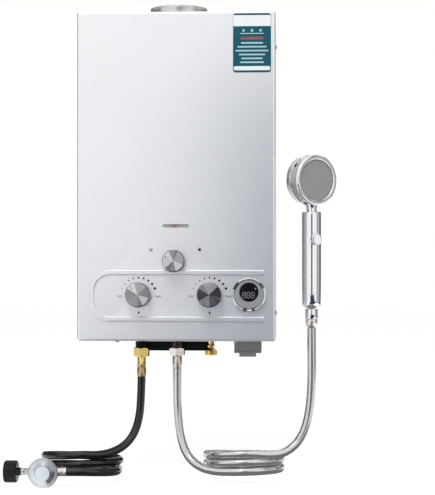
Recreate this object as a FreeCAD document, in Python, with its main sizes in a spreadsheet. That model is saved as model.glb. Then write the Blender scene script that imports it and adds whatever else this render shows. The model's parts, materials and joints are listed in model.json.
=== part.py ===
import FreeCAD, Part
import math
import os
import Sketcher

# Wall-hung gas water heater with a gas hose and regulator, and a hand shower on a steel hose.
# The origin is the centre of the hanging hole in the back plate. The wall is the plane Y = 0,
# the front faces -Y and +Z is up. All lengths are in millimetres and all angles in degrees.

SIZES = {
    # casing
    "cover_width": 319.0,
    "cover_height": 529.0,
    "cover_depth": 140.0,
    "cover_sheet": 1.0,
    "cover_fold": 4.0,
    "cover_lip": 12.0,
    "wall_gap": 1.0,
    "seat_gap": 0.3,
    "back_sheet": 1.2,
    "back_flange": 20.0,
    "hook_drop": 30.0,
    "hook_hole": 5.0,
    "foot_hole": 3.0,
    "foot_spacing": 200.0,
    "foot_rise": 45.0,
    "panel_sheet": 1.2,
    "screw_radius": 2.0,
    "screw_head": 4.0,
    "screw_head_high": 2.2,
    "screw_length": 8.0,
    "screw_inset": 40.0,
    "low_screw_x": 95.7,
    # air slots
    "air_slot_width": 3.0,
    "air_slot_pitch": 9.0,
    "panel_slot_length": 20.0,
    "panel_slot_left": -145.0,
    "panel_slot_count": 26,
    "panel_slot_inset": 26.0,
    "back_slot_length": 32.0,
    "back_slot_count": 13,
    "back_slot_rise": 90.0,
    # raised bead round the controls
    "bead_width": 8.0,
    "bead_high": 2.5,
    "bead_left_margin": 20.0,
    "bead_right_margin": 18.5,
    "bead_bottom": 31.7,
    "bead_top": 114.4,
    "bead_bend": 34.0,
    "bead_edge": 1.6,
    # sight slot
    "slot_rise": 185.0,
    "slot_length": 42.0,
    "slot_high": 5.4,
    "window_sheet": 1.5,
    "window_lap": 5.0,
    # flue
    "flue_radius": 45.5,
    "flue_wall": 0.8,
    "flue_stand": 15.0,
    "flue_flange": 5.0,
    "flue_bead": 1.2,
    "inside_depth": 70.0,
    # combustion
    "hood_high": 56.0,
    "hood_drop": 18.0,
    "hood_top": 96.0,
    "hood_sheet": 0.8,
    "exchanger_width": 222.0,
    "exchanger_depth": 96.0,
    "exchanger_high": 150.0,
    "exchanger_sheet": 1.0,
    "tube_radius": 7.0,
    "tube_gap": 0.1,
    "tube_pitch": 24.0,
    "tube_count": 4,
    "tube_drop": 34.0,
    "tube_bend": 11.0,
    "tube_stub": 10.0,
    "fin_sheet": 0.8,
    "fin_high": 50.0,
    "fin_count": 12,
    "fin_gap": 0.3,
    "burner_count": 10,
    "burner_pitch": 20.0,
    "burner_width": 9.0,
    "burner_length": 76.0,
    "burner_high": 34.0,
    "burner_port": 2.4,
    "burner_port_deep": 6.0,
    "burner_port_pitch": 11.0,
    "burner_port_count": 7,
    "burner_drop": 8.0,
    "frame_sheet": 1.2,
    "mouth_radius": 5.5,
    "mouth_wall": 1.0,
    "mouth_flare": 7.5,
    "mouth_length": 6.0,
    "rail_radius": 5.5,
    "gas_pipe_radius": 4.4,
    "gas_pipe_bend": 8.8,
    "gas_pipe_rise": 33.0,
    "jet_radius": 2.5,
    "jet_length": 5.0,
    "jet_gap": 1.5,
    # controls
    "control_rise": 75.0,
    "gas_knob_x": -60.0,
    "water_knob_x": 54.0,
    "season_knob_x": -3.0,
    "season_rise": 129.0,
    "knob_radius": 20.0,
    "knob_high": 18.5,
    "season_radius": 18.0,
    "season_high": 16.5,
    "knob_gap": 1.5,
    "knob_bead_gap": 0.5,
    "knob_wall": 2.0,
    "knob_chamfer": 1.0,
    "knob_boss": 6.0,
    "knob_mark": 1.2,
    "gas_pointer": 45.0,
    "water_pointer": -50.0,
    "season_pointer": 63.0,
    "spindle_radius": 3.0,
    "spindle_collar": 4.5,
    "spindle_fit": 0.05,
    "spindle_end": 9.5,
    "spindle_hole": 6.0,
    "spindle_seat": 12.0,
    "boss_radius": 8.0,
    "boss_length": 20.0,
    # valves
    "valve_width": 44.0,
    "valve_depth": 36.0,
    "valve_high": 46.0,
    "valve_round": 5.0,
    "segment_width": 30.8,
    "segment_high": 32.2,
    "diaphragm_radius": 27.0,
    "diaphragm_width": 13.0,
    "diaphragm_rim": 4.0,
    "solenoid_radius": 11.0,
    "solenoid_high": 30.0,
    "switch_length": 20.0,
    "switch_depth": 10.0,
    "switch_high": 11.0,
    "module_width": 62.0,
    "module_depth": 24.0,
    "module_high": 40.0,
    "module_x": -105.0,
    "module_rise": 170.0,
    "electrode_radius": 1.6,
    "electrode_length": 26.0,
    # connections under the casing
    "gas_x": -62.0,
    "hot_x": -3.0,
    "cold_x": 53.0,
    "thread_radius": 10.3,
    "thread_length": 22.0,
    "thread_fit": 0.1,
    "inlet_neck": 5.5,
    "inlet_thread": 13.0,
    "inlet_drop": 27.0,
    "panel_hole_gap": 0.4,
    "bracket_left": -74.0,
    "bracket_right": 56.0,
    "bracket_drop": 21.5,
    "bracket_sheet": 2.0,
    "bracket_back": 22.0,
    "bracket_front": 14.0,
    "bracket_bend": 3.0,
    "fitting_stand": 12.0,
    "pipe_radius": 6.0,
    "pipe_bend": 12.0,
    "pipe_small_bend": 9.8,
    "pipe_gap": 4.0,
    "cold_pipe_knee": 32.0,
    "cold_pipe_turn": 72.0,
    "hot_pipe_level": 31.0,
    "hot_pipe_low": 44.0,
    "hot_pipe_foot": 28.0,
    # battery case
    "battery_x": 114.5,
    "battery_width": 43.5,
    "battery_front": 118.0,
    "battery_length": 78.0,
    "battery_wall": 1.5,
    "battery_drop": 17.0,
    "battery_rise": 58.0,
    "battery_round": 2.0,
    "lid_sheet": 2.7,
    "lid_tab": 27.0,
    "lid_tab_deep": 6.0,
    "lid_tab_drop": 6.0,
    "lid_barrel": 2.4,
    "lid_barrel_length": 22.0,
    "lid_pin": 1.0,
    "lid_ear": 4.0,
    "cell_radius": 16.6,
    "cell_high": 58.0,
    "cell_tip": 4.5,
    "cell_tip_high": 2.0,
    "cell_pitch": 35.0,
    "contact_sheet": 0.8,
    # temperature display
    "gauge_x": 117.0,
    "bezel_radius": 27.5,
    "bezel_inner": 23.4,
    "bezel_high": 6.5,
    "bezel_round": 2.0,
    "gauge_radius": 23.2,
    "gauge_face": 4.0,
    "gauge_barrel": 21.0,
    "gauge_hole_gap": 0.6,
    "gauge_behind": 20.0,
    "display_radius": 15.5,
    "display_sheet": 1.2,
    "display_offset": 4.0,
    # gas hose
    "nut_across": 24.0,
    "nut_high": 15.0,
    "nut_drop": 14.9,
    "nut_chamfer": 1.2,
    "nut_shoulder": 3.5,
    "gas_sleeve_radius": 6.7,
    "gas_sleeve_high": 13.6,
    "gas_ferrule_radius": 7.4,
    "gas_ferrule_high": 19.2,
    "ferrule_crimp": 0.6,
    "gas_hose_radius": 6.7,
    "steel_sleeve_radius": 7.8,
    "steel_sleeve_high": 20.8,
    "steel_nut_high": 13.0,
    "steel_hose_radius": 7.0,
    "floor_drop": 230.0,
    "coil_tilt": 5.5,
    "coil_back": 4.0,
    "gas_coil_x": -160.3,
    "gas_coil_radius": 68.0,
    "gas_coil_high": 41.0,
    "steel_coil_x": 107.0,
    "steel_coil_radius": 67.5,
    "steel_coil_high": 43.0,
    "coil_round": 4.0,
    "coil_slack": 1.0,
    # regulator
    "regulator_x": -208.0,
    "regulator_depth": 165.0,
    "regulator_radius": 23.8,
    "regulator_body_radius": 20.5,
    "regulator_body_deep": 24.0,
    "regulator_back_radius": 13.0,
    "regulator_cap": 8.0,
    "regulator_rim": 2.6,
    "regulator_plate": 11.0,
    "regulator_boss": 8.5,
    "regulator_boss_reach": 21.5,
    "fitting_across": 13.0,
    "fitting_nut": 5.0,
    "fitting_length": 14.0,
    "fitting_radius": 7.2,
    "stem_radius": 5.4,
    "stem_reach": 60.0,
    "stem_shoulder": 8.0,
    "collar_radius": 6.4,
    "collar_length": 5.6,
    "collar_place": 36.8,
    "hand_nut_radius": 17.5,
    "hand_nut_length": 20.5,
    "hand_nut_place": 43.0,
    "hand_nut_bore": 13.5,
    "hand_nut_wall": 4.5,
    "hand_nut_lobes": 8,
    "hand_nut_flute": 3.2,
    # hand shower
    "handle_x": 218.0,
    "handle_depth": 90.0,
    "handle_radius": 15.5,
    "handle_rise": 50.5,
    "handle_high": 158.0,
    "handle_taper": 8.0,
    "handle_foot": 10.2,
    "handle_neck": 12.0,
    "handle_shoulder": 3.0,
    "spigot_radius": 7.2,
    "spigot_high": 14.0,
    "shower_nut_radius": 10.0,
    "shower_nut_high": 16.5,
    "cone_high": 14.2,
    "seam_low": 93.5,
    "seam_high": 129.5,
    "seam_deep": 0.6,
    "swivel_radius": 7.0,
    "swivel_deep": 14.0,
    "neck_radius": 8.2,
    "neck_sink": 7.0,
    "head_yaw": 37.0,
    "button_yaw": 30.0,
    "head_radius": 41.5,
    "head_back": 19.0,
    "head_front": 15.5,
    "head_rise": 260.0,
    "head_shell_deep": 17.0,
    "head_floor": 7.0,
    "head_bevel": 2.5,
    "head_groove": 10.0,
    "head_groove_deep": 5.0,
    "head_ring_taper": 2.5,
    "window_wide": 20.7,
    "window_turn": 35.5,
    "window_margin": 1.0,
    "head_wall": 2.5,
    "head_back_round": 9.0,
    "spray_radius": 33.4,
    "spray_sheet": 2.5,
    "spray_inset": 1.5,
    "fan_radius": 27.0,
    "fan_hub": 6.0,
    "fan_blades": 7,
    "fan_blade": 1.6,
    "fan_high": 7.0,
    "fan_axle": 2.0,
    "fan_lift": 11.5,
    "button_radius": 9.5,
    "button_high": 5.0,
    "button_proud": 1.6,
    "button_travel": 2.0,
    "button_rise": 163.5,
}

doc = FreeCAD.newDocument("water_heater")
sheet = doc.addObject("Spreadsheet::Sheet", "Sizes")


class Size:
    """A number that remembers the sheet expression it comes from."""

    def __init__(self, value, text):
        self.value = value
        self.text = text

    def joined(self, other, sign, value):
        other = as_size(other)
        return Size(value(self.value, other.value), f"({self.text} {sign} {other.text})")

    def __add__(self, other):
        return self.joined(other, "+", lambda a, b: a + b)

    def __sub__(self, other):
        return self.joined(other, "-", lambda a, b: a - b)

    def __mul__(self, other):
        return self.joined(other, "*", lambda a, b: a * b)

    def __truediv__(self, other):
        return self.joined(other, "/", lambda a, b: a / b)

    def __radd__(self, other):
        return as_size(other) + self

    def __rsub__(self, other):
        return as_size(other) - self

    def __rmul__(self, other):
        return as_size(other) * self

    def __neg__(self):
        return as_size(0) - self


def as_size(thing):
    if isinstance(thing, Size):
        return thing
    return Size(float(thing), f"({float(thing):.6f})")


def number(thing):
    return as_size(thing).value


class Sizes:
    """The sheet's cells, each by its alias."""

    def __init__(self, table):
        for row, (alias, value) in enumerate(table.items(), 1):
            sheet.set(f"A{row}", alias)
            sheet.set(f"B{row}", str(value))
            sheet.setAlias(f"B{row}", alias)
            setattr(self, alias, Size(float(value), f"Sizes.{alias}"))


s = Sizes(SIZES)
doc.recompute()

nodes = []
SLOT_END = 0.98  # share of a slot's half width that its round corners take
NO_TURN = FreeCAD.Rotation()
ALONG_X = FreeCAD.Rotation(FreeCAD.Vector(0, 1, 0), 90)
UPSIDE_DOWN = FreeCAD.Rotation(FreeCAD.Vector(0, 1, 0), 180)
ALONG_LEFT = FreeCAD.Rotation(FreeCAD.Vector(0, 1, 0), -90)
ALONG_FRONT = FreeCAD.Rotation(FreeCAD.Vector(1, 0, 0), 90)


# Helpers

def rolled(angle):
    """A turn about the piece's own Z axis."""
    return FreeCAD.Rotation(FreeCAD.Vector(0, 0, 1), number(angle))


def facing(yaw):
    """The turn that points Z along the front, swung about the upright by the yaw."""
    return FreeCAD.Rotation(FreeCAD.Vector(0, 0, 1), number(yaw)) * ALONG_FRONT


def node(obj, label):
    """Marks an object as one sub-part, with the name of its file."""
    obj.Label = label
    nodes.append(obj)
    return obj


def bind(obj, **links):
    for prop, size in links.items():
        obj.setExpression(prop, as_size(size).text)
    return obj


def place(obj, x=0, y=0, z=0, turn=NO_TURN):
    spot = FreeCAD.Vector(number(x), number(y), number(z))
    obj.Placement = FreeCAD.Placement(spot, turn)
    for axis, size in zip("xyz", (x, y, z)):
        obj.setExpression(f"Placement.Base.{axis}", as_size(size).text)
    return obj


def box(name, x, y, z):
    """A box between two values on each axis, each given as a pair (low, high)."""
    obj = doc.addObject("Part::Box", name)
    bind(obj, Length=x[1] - x[0], Width=y[1] - y[0], Height=z[1] - z[0])
    return place(obj, x[0], y[0], z[0])


def rod(name, radius, length, x=0, y=0, z=0, turn=NO_TURN):
    obj = doc.addObject("Part::Cylinder", name)
    bind(obj, Radius=radius, Height=length)
    return place(obj, x, y, z, turn)


def cone(name, low, high, length, x=0, y=0, z=0, turn=NO_TURN):
    obj = doc.addObject("Part::Cone", name)
    bind(obj, Radius1=low, Radius2=high, Height=length)
    return place(obj, x, y, z, turn)


def hexagon(name, across, length, x=0, y=0, z=0, turn=NO_TURN):
    """A six-sided bar, its size given across the flats."""
    obj = doc.addObject("Part::Prism", name)
    obj.Polygon = 6
    bind(obj, Circumradius=as_size(across) / math.sqrt(3), Height=length)
    return place(obj, x, y, z, turn)


def fuse(name, *shapes):
    if len(shapes) == 1:
        return shapes[0]
    obj = doc.addObject("Part::MultiFuse", name)
    obj.Shapes = list(shapes)
    obj.Refine = True
    return obj


def cut(name, base, *tools):
    obj = doc.addObject("Part::Cut", name)
    obj.Base = base
    obj.Tool = fuse(name + "_tools", *tools)
    obj.Refine = True
    return obj


def common(name, *shapes):
    obj = doc.addObject("Part::MultiCommon", name)
    obj.Shapes = list(shapes)
    return obj


def group(name, *shapes):
    """Separate solids kept as one sub-part."""
    obj = doc.addObject("Part::Compound", name)
    obj.Links = list(shapes)
    return obj


def new_body(name, x=0, y=0, z=0, turn=NO_TURN):
    return place(doc.addObject("PartDesign::Body", name), x, y, z, turn)


def new_sketch(body, role, name, offset=0):
    sketch = body.newObject("Sketcher::SketchObject", name)
    plane = next(item for item in body.Origin.OriginFeatures if item.Role == role)
    sketch.AttachmentSupport = [(plane, "")]
    sketch.MapMode = "FlatFace"
    sketch.setExpression("AttachmentOffset.Base.z", as_size(offset).text)
    return sketch


def hold(sketch, kind, geometry, point, size):
    """A distance from the sketch's origin, bound to the sheet."""
    rule = Sketcher.Constraint(kind, -1, 1, geometry, point, number(size))
    index = sketch.addConstraint(rule)
    sketch.setExpression(f"Constraints[{index}]", as_size(size).text)


def draw_corners(sketch, corners):
    """A closed outline of straight lines through (x, y) corners."""
    first = sketch.GeometryCount
    count = len(corners)
    spots = [FreeCAD.Vector(number(x), number(y), 0) for x, y in corners]
    for index in range(count):
        line = Part.LineSegment(spots[index], spots[(index + 1) % count])
        sketch.addGeometry(line)
    for index, (x, y) in enumerate(corners):
        after = first + (index + 1) % count
        sketch.addConstraint(Sketcher.Constraint("Coincident", first + index, 2, after, 1))
        hold(sketch, "DistanceX", first + index, 1, x)
        hold(sketch, "DistanceY", first + index, 1, y)


def draw_box(sketch, x, y):
    draw_corners(sketch, [(x[0], y[0]), (x[1], y[0]), (x[1], y[1]), (x[0], y[1])])


def draw_circle(sketch, x, y, radius):
    centre = FreeCAD.Vector(number(x), number(y), 0)
    circle = Part.Circle(centre, FreeCAD.Vector(0, 0, 1), number(radius))
    index = sketch.addGeometry(circle)
    hold(sketch, "DistanceX", index, 3, x)
    hold(sketch, "DistanceY", index, 3, y)
    rule = sketch.addConstraint(Sketcher.Constraint("Radius", index, number(radius)))
    sketch.setExpression(f"Constraints[{rule}]", as_size(radius).text)


def draw_slot(sketch, x, y, width, high):
    """A level slot with round ends: two half circles joined by two lines."""
    reach = (width - high) / 2
    radius = high / 2
    up = FreeCAD.Vector(0, 0, 1)
    ends = []
    for side, start in ((1, -math.pi / 2), (-1, math.pi / 2)):
        centre = FreeCAD.Vector(number(x + side * reach), number(y), 0)
        circle = Part.Circle(centre, up, number(radius))
        arc = Part.ArcOfCircle(circle, start, start + math.pi)
        ends.append(sketch.addGeometry(arc))
    right, left = ends
    for low, high_arc in ((right, left), (left, right)):
        start = sketch.getPoint(low, 2)
        end = sketch.getPoint(high_arc, 1)
        line = sketch.addGeometry(Part.LineSegment(start, end))
        sketch.addConstraint(Sketcher.Constraint("Tangent", low, 2, line, 1))
        sketch.addConstraint(Sketcher.Constraint("Tangent", line, 2, high_arc, 1))
    hold(sketch, "DistanceX", right, 3, x + reach)
    hold(sketch, "DistanceX", left, 3, x - reach)
    hold(sketch, "DistanceY", right, 3, y)
    hold(sketch, "DistanceY", left, 3, y)
    rule = sketch.addConstraint(Sketcher.Constraint("Radius", right, number(radius)))
    sketch.setExpression(f"Constraints[{rule}]", as_size(radius).text)


def draw_upright_slot(sketch, x, y, width):
    """A slot with round ends that stands upright."""
    radius = width / 2
    draw_rounded(sketch, [(x - radius, y[0], radius * SLOT_END), (x + radius, y[0], radius * SLOT_END),
                          (x + radius, y[1], radius * SLOT_END), (x - radius, y[1], radius * SLOT_END)])


def pad(body, sketch, length, reverse=False):
    feature = body.newObject("PartDesign::Pad", sketch.Name + "_pad")
    feature.Profile = sketch
    feature.Reversed = reverse
    bind(feature, Length=length)
    return feature


def pocket(body, sketch, length, reverse=False):
    feature = body.newObject("PartDesign::Pocket", sketch.Name + "_pocket")
    feature.Profile = sketch
    feature.Reversed = reverse
    bind(feature, Length=length)
    return feature


def air_slots(body, sketch, sheet_thick, axis, count):
    """A row of slots through a sheet, repeated from the first one."""
    slot = pocket(body, sketch, sheet_thick, reverse=True)
    row = body.newObject("PartDesign::LinearPattern", sketch.Name + "_row")
    row.Originals = [slot]
    row.Direction = (sketch, [axis])
    row.Mode = "Spacing"
    bind(row, Occurrences=count, Offset=s.air_slot_pitch)
    body.Tip = row


def turned(name, profile, x=0, y=0, z=0, turn=NO_TURN):
    """A body turned about its own Z axis from (radius, height) corners."""
    body = new_body(name, x, y, z, turn)
    sketch = new_sketch(body, "XZ_Plane", name + "_profile")
    draw_corners(sketch, profile)
    spin = body.newObject("PartDesign::Revolution", name + "_turning")
    spin.Profile = sketch
    spin.ReferenceAxis = (sketch, ["V_Axis"])
    spin.Angle = 360
    return body


def edges_where(feature, test):
    """Names of the feature's edges whose end points all pass the test."""
    doc.recompute()
    found = []
    for index, edge in enumerate(feature.Shape.Edges, 1):
        if all(test(vertex.Point) for vertex in edge.Vertexes):
            found.append(f"Edge{index}")
    return found


def rounded(body, feature, radius, test, kind="Fillet"):
    """Rounds or bevels the edges of the body's last feature that pass the test."""
    blend = body.newObject("PartDesign::" + kind, feature.Name + "_" + kind.lower())
    blend.Base = (feature, edges_where(feature, test))
    bind(blend, **{"Radius" if kind == "Fillet" else "Size": radius})
    return blend


def near(value, size):
    return abs(value - number(size)) < 1e-4


def rounded_path(points, radii):
    """A wire of straight runs joined by tangent arcs, one radius per inner point."""
    spots = [FreeCAD.Vector(*[number(value) for value in point]) for point in points]
    edges = []
    start = spots[0]
    for before, corner, after, radius in zip(spots, spots[1:], spots[2:], radii):
        back = (before - corner).normalize()
        ahead = (after - corner).normalize()
        turn = math.pi - back.getAngle(ahead)
        reach = radius * math.tan(turn / 2)
        middle = (back + ahead).normalize()
        sag = radius / math.cos(turn / 2) - radius
        arc_start = corner + back * reach
        arc_end = corner + ahead * reach
        edges.append(Part.LineSegment(start, arc_start).toShape())
        arc = Part.Arc(arc_start, corner + middle * sag, arc_end)
        edges.append(arc.toShape())
        start = arc_end
    edges.append(Part.LineSegment(start, spots[-1]).toShape())
    return Part.Wire(edges)


def swept(name, wire, radius):
    """A round bar along a wire, as a Part::Feature."""
    start = wire.Edges[0]
    spot = start.valueAt(start.FirstParameter)
    ahead = start.tangentAt(start.FirstParameter)
    ring = Part.Wire(Part.Circle(spot, ahead, number(radius)).toShape())
    obj = doc.addObject("Part::Feature", name)
    obj.Shape = wire.makePipeShell([ring], True, True)
    return obj


def cord_radii(points):
    """The largest bend each point of a cord's route leaves room for."""
    spots = [FreeCAD.Vector(*[number(value) for value in point]) for point in points]
    radii = []
    for before, corner, after in zip(spots, spots[1:], spots[2:]):
        run = min((before - corner).Length, (after - corner).Length)
        turn = math.pi - (before - corner).getAngle(after - corner)
        radii.append(0.45 * run / math.tan(turn / 2))
    return radii


def cord(name, points, radius):
    """A plain tube along a cord's route, with its bends and its volume printed."""
    radii = cord_radii(points)
    wire = rounded_path(points, radii)
    obj = swept(name, wire, radius)
    bends = ", ".join(f"{bend:.0f}" for bend in radii)
    share = obj.Shape.Volume / (math.pi * number(radius) ** 2 * wire.Length)
    print(f"{name}: length {wire.Length:.0f}, bends {bends}, volume share {share:.4f}")
    return obj


def draw_rounded(sketch, corners):
    """A closed outline of level and upright lines through (x, y, radius) corners."""
    count = len(corners)
    spots = [FreeCAD.Vector(number(x), number(y), 0) for x, y, radius in corners]
    ways = [(spots[(i + 1) % count] - spots[i]).normalize() for i in range(count)]
    trims = [number(radius) for x, y, radius in corners]
    lines = []
    for i in range(count):
        start = spots[i] + ways[i] * trims[i]
        end = spots[(i + 1) % count] - ways[i] * trims[(i + 1) % count]
        line = sketch.addGeometry(Part.LineSegment(start, end))
        lines.append(line)
        level = abs(ways[i].y) < 0.5
        sketch.addConstraint(Sketcher.Constraint("Horizontal" if level else "Vertical", line))
        x, y, radius = corners[i]
        hold(sketch, "DistanceY" if level else "DistanceX", line, 1, y if level else x)
    for i, (x, y, radius) in enumerate(corners):
        before = lines[i - 1]
        after = lines[i]
        if trims[i] == 0:
            sketch.addConstraint(Sketcher.Constraint("Coincident", before, 2, after, 1))
            continue
        left_turn = ways[i - 1].cross(ways[i]).z > 0
        side = 1 if left_turn else -1
        inward = FreeCAD.Vector(-ways[i].y, ways[i].x, 0) * side
        centre = spots[i] + ways[i] * trims[i] + inward * trims[i]
        arrive = spots[i] - ways[i - 1] * trims[i] - centre
        leave = spots[i] + ways[i] * trims[i] - centre
        first, last = (arrive, leave) if left_turn else (leave, arrive)
        begin = math.atan2(first.y, first.x)
        finish = math.atan2(last.y, last.x)
        if finish < begin:
            finish += 2 * math.pi
        circle = Part.Circle(centre, FreeCAD.Vector(0, 0, 1), trims[i])
        arc = sketch.addGeometry(Part.ArcOfCircle(circle, begin, finish))
        start_line, end_line = (before, after) if left_turn else (after, before)
        start_point, end_point = (2, 1) if left_turn else (1, 2)
        sketch.addConstraint(Sketcher.Constraint("Tangent", start_line, start_point, arc, 1))
        sketch.addConstraint(Sketcher.Constraint("Tangent", arc, 2, end_line, end_point))
        rule = sketch.addConstraint(Sketcher.Constraint("Radius", arc, trims[i]))
        sketch.setExpression(f"Constraints[{rule}]", as_size(radius).text)


def draw_rounded_box(sketch, x, y, radius):
    corners = [(x[0], y[0], radius), (x[1], y[0], radius), (x[1], y[1], radius), (x[0], y[1], radius)]
    draw_rounded(sketch, corners)


# Levels and planes that several sub-parts share

top = s.hook_drop
bottom = s.hook_drop - s.cover_height
half_width = s.cover_width / 2
inner_half = half_width - s.cover_sheet - s.seat_gap
front = -s.cover_depth
middle = -s.inside_depth
control_z = bottom + s.control_rise
season_z = bottom + s.season_rise
hood_top_z = top - s.hood_drop
hood_bottom_z = hood_top_z - s.hood_high
exchanger_bottom_z = hood_bottom_z - s.exchanger_high
burner_top_z = exchanger_bottom_z - s.burner_drop
burner_bottom_z = burner_top_z - s.burner_high
panel_top_z = bottom + s.cover_sheet + s.panel_sheet
floor_z = bottom - s.floor_drop
flue_hole = s.flue_radius + s.flue_bead + s.seat_gap
flange_y = -s.back_flange / 2
screw_levels = (bottom + s.screw_inset, top - s.screw_inset)
low_screw_y = front + s.cover_lip - (s.cover_lip - s.cover_fold - s.cover_sheet) / 2


# Casing

def back_plate():
    """Folded tray that hangs on the wall and carries everything else."""
    body = new_body("back_tray")
    outline = new_sketch(body, "XZ_Plane", "back_outline")
    low = bottom + s.cover_sheet + s.seat_gap
    high = top - s.cover_sheet - s.seat_gap
    draw_rounded_box(outline, (-inner_half, inner_half), (low, high), s.cover_fold)
    pad(body, outline, s.back_flange)
    hollow = new_sketch(body, "XZ_Plane", "back_hollow", s.back_sheet)
    wall = s.back_sheet
    draw_rounded_box(hollow, (wall - inner_half, inner_half - wall), (low + wall, high - wall),
                     s.cover_fold - wall)
    pocket(body, hollow, s.back_flange, reverse=True)
    holes = new_sketch(body, "XZ_Plane", "back_holes")
    draw_circle(holes, 0, 0, s.hook_hole)
    for side in (-1, 1):
        draw_circle(holes, side * s.foot_spacing / 2, bottom + s.foot_rise, s.foot_hole)
    pocket(body, holes, s.back_sheet, reverse=True)
    first = -(s.back_slot_count - 1) / 2 * s.air_slot_pitch
    half = s.back_slot_length / 2
    middle_z = bottom + s.back_slot_rise
    slot = new_sketch(body, "XZ_Plane", "back_air_slot")
    draw_upright_slot(slot, first, (middle_z - half, middle_z + half), s.air_slot_width)
    air_slots(body, slot, s.back_sheet, "H_Axis", s.back_slot_count)
    tools = []
    for side in (-1, 1):
        for z in screw_levels:
            turn = ALONG_X if side == 1 else ALONG_LEFT
            start = side * (inner_half - 2 * s.back_sheet)
            tools.append(rod("back_screw_hole", s.screw_radius + s.spindle_fit, 4 * s.back_sheet,
                             start, flange_y, z, turn))
    node(cut("back_plate", body, *tools), "back_plate")


def front_cover():
    """Deep drawn cover: folded edges, a raised bead round the controls, and their holes."""
    body = new_body("cover_shell", y=-s.wall_gap)
    deep = s.cover_depth - s.wall_gap
    outline = new_sketch(body, "XZ_Plane", "cover_outline")
    draw_rounded_box(outline, (-half_width, half_width), (bottom, top), s.cover_fold)
    pad(body, outline, deep)
    hollow = new_sketch(body, "XZ_Plane", "cover_hollow")
    wall = s.cover_sheet
    draw_rounded_box(hollow, (wall - half_width, half_width - wall), (bottom + wall, top - wall),
                     s.cover_fold - wall)
    room = pocket(body, hollow, deep - wall, reverse=True)
    inside = rounded(body, room, s.cover_fold - wall, lambda point: near(point.y, wall - deep))
    rounded(body, inside, s.cover_fold, lambda point: near(point.y, -deep))

    underside = new_sketch(body, "XY_Plane", "cover_underside", bottom)
    reach = half_width - s.cover_lip
    draw_box(underside, (-reach, reach), (s.cover_lip - deep, s.cover_lip))
    pocket(body, underside, 2 * s.cover_sheet, reverse=True)

    flue = new_sketch(body, "XY_Plane", "cover_flue", top)
    draw_circle(flue, 0, middle + s.wall_gap, flue_hole)
    pocket(body, flue, 2 * s.cover_sheet)

    holes = new_sketch(body, "XZ_Plane", "cover_holes", deep - 2 * s.cover_sheet)
    draw_circle(holes, s.gas_knob_x, control_z, s.spindle_hole)
    draw_circle(holes, s.water_knob_x, control_z, s.spindle_hole)
    draw_circle(holes, s.season_knob_x, season_z, s.spindle_hole)
    draw_circle(holes, s.gauge_x, control_z, s.gauge_barrel + s.gauge_hole_gap)
    draw_slot(holes, as_size(0), bottom + s.slot_rise, s.slot_length, s.slot_high)
    pocket(body, holes, 4 * s.cover_sheet, reverse=True)

    bead = new_sketch(body, "XZ_Plane", "cover_bead", deep)
    wide = s.bead_width
    low = bottom + s.bead_bottom
    high = bottom + s.bead_top
    left = s.bead_left_margin - half_width
    right = half_width - s.bead_right_margin
    inner_bend = s.bead_bend - wide
    draw_rounded(bead, [
        (left, low, s.bead_bend),
        (right, low, 0),
        (right, low + wide, 0),
        (left + wide, low + wide, inner_bend),
        (left + wide, high - wide, inner_bend),
        (right, high - wide, 0),
        (right, high, 0),
        (left, high, s.bead_bend),
    ])
    raised = pad(body, bead, s.bead_high)
    rounded(body, raised, s.bead_edge, lambda point: near(point.y, -deep - s.bead_high))

    tools = []
    for side in (-1, 1):
        for z in screw_levels:
            turn = ALONG_X if side == 1 else ALONG_LEFT
            start = side * (half_width - 2 * s.cover_sheet)
            tools.append(rod("cover_screw_hole", s.screw_radius + s.spindle_fit, 4 * s.cover_sheet,
                             start, flange_y, z, turn))
        tools.append(rod("cover_low_hole", s.screw_radius + s.spindle_fit, 4 * s.cover_sheet,
                         side * s.low_screw_x, low_screw_y, bottom - 2 * s.cover_sheet))
    node(cut("front_cover", body, *tools), "front_cover")


def bottom_panel():
    """Flat panel that rests on the cover's lip, with a hole for each connection."""
    reach = half_width - s.cover_fold - s.cover_sheet
    near_edge = front + s.cover_fold + s.cover_sheet
    body = new_body("panel_body", z=bottom + s.cover_sheet)
    outline = new_sketch(body, "XY_Plane", "panel_outline")
    draw_box(outline, (-reach, reach), (near_edge, -s.back_flange - s.seat_gap))
    pad(body, outline, s.panel_sheet)
    start = near_edge + s.panel_slot_inset - s.panel_slot_length
    slot = new_sketch(body, "XY_Plane", "panel_air_slot")
    draw_upright_slot(slot, s.panel_slot_left, (start, start + s.panel_slot_length), s.air_slot_width)
    air_slots(body, slot, s.panel_sheet, "H_Axis", s.panel_slot_count)
    tools = [rod("panel_low_hole", s.screw_radius + s.spindle_fit, 4 * s.panel_sheet,
                 side * s.low_screw_x, low_screw_y, bottom - s.panel_sheet) for side in (-1, 1)]
    for x, radius in ((s.gas_x, s.thread_radius), (s.hot_x, s.thread_radius), (s.cold_x, s.inlet_neck)):
        tools.append(rod("panel_hole", radius + s.panel_hole_gap, 4 * s.panel_sheet,
                         x, middle, bottom - s.panel_sheet))
    gap = s.panel_hole_gap
    tools.append(box("panel_battery_hole",
                     (s.battery_x - s.battery_width / 2 - gap, s.battery_x + s.battery_width / 2 + gap),
                     (-s.battery_front - gap, s.battery_length - s.battery_front + gap),
                     (bottom - s.panel_sheet, bottom + 4 * s.panel_sheet)))
    node(cut("bottom_panel", body, *tools), "bottom_panel")


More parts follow.
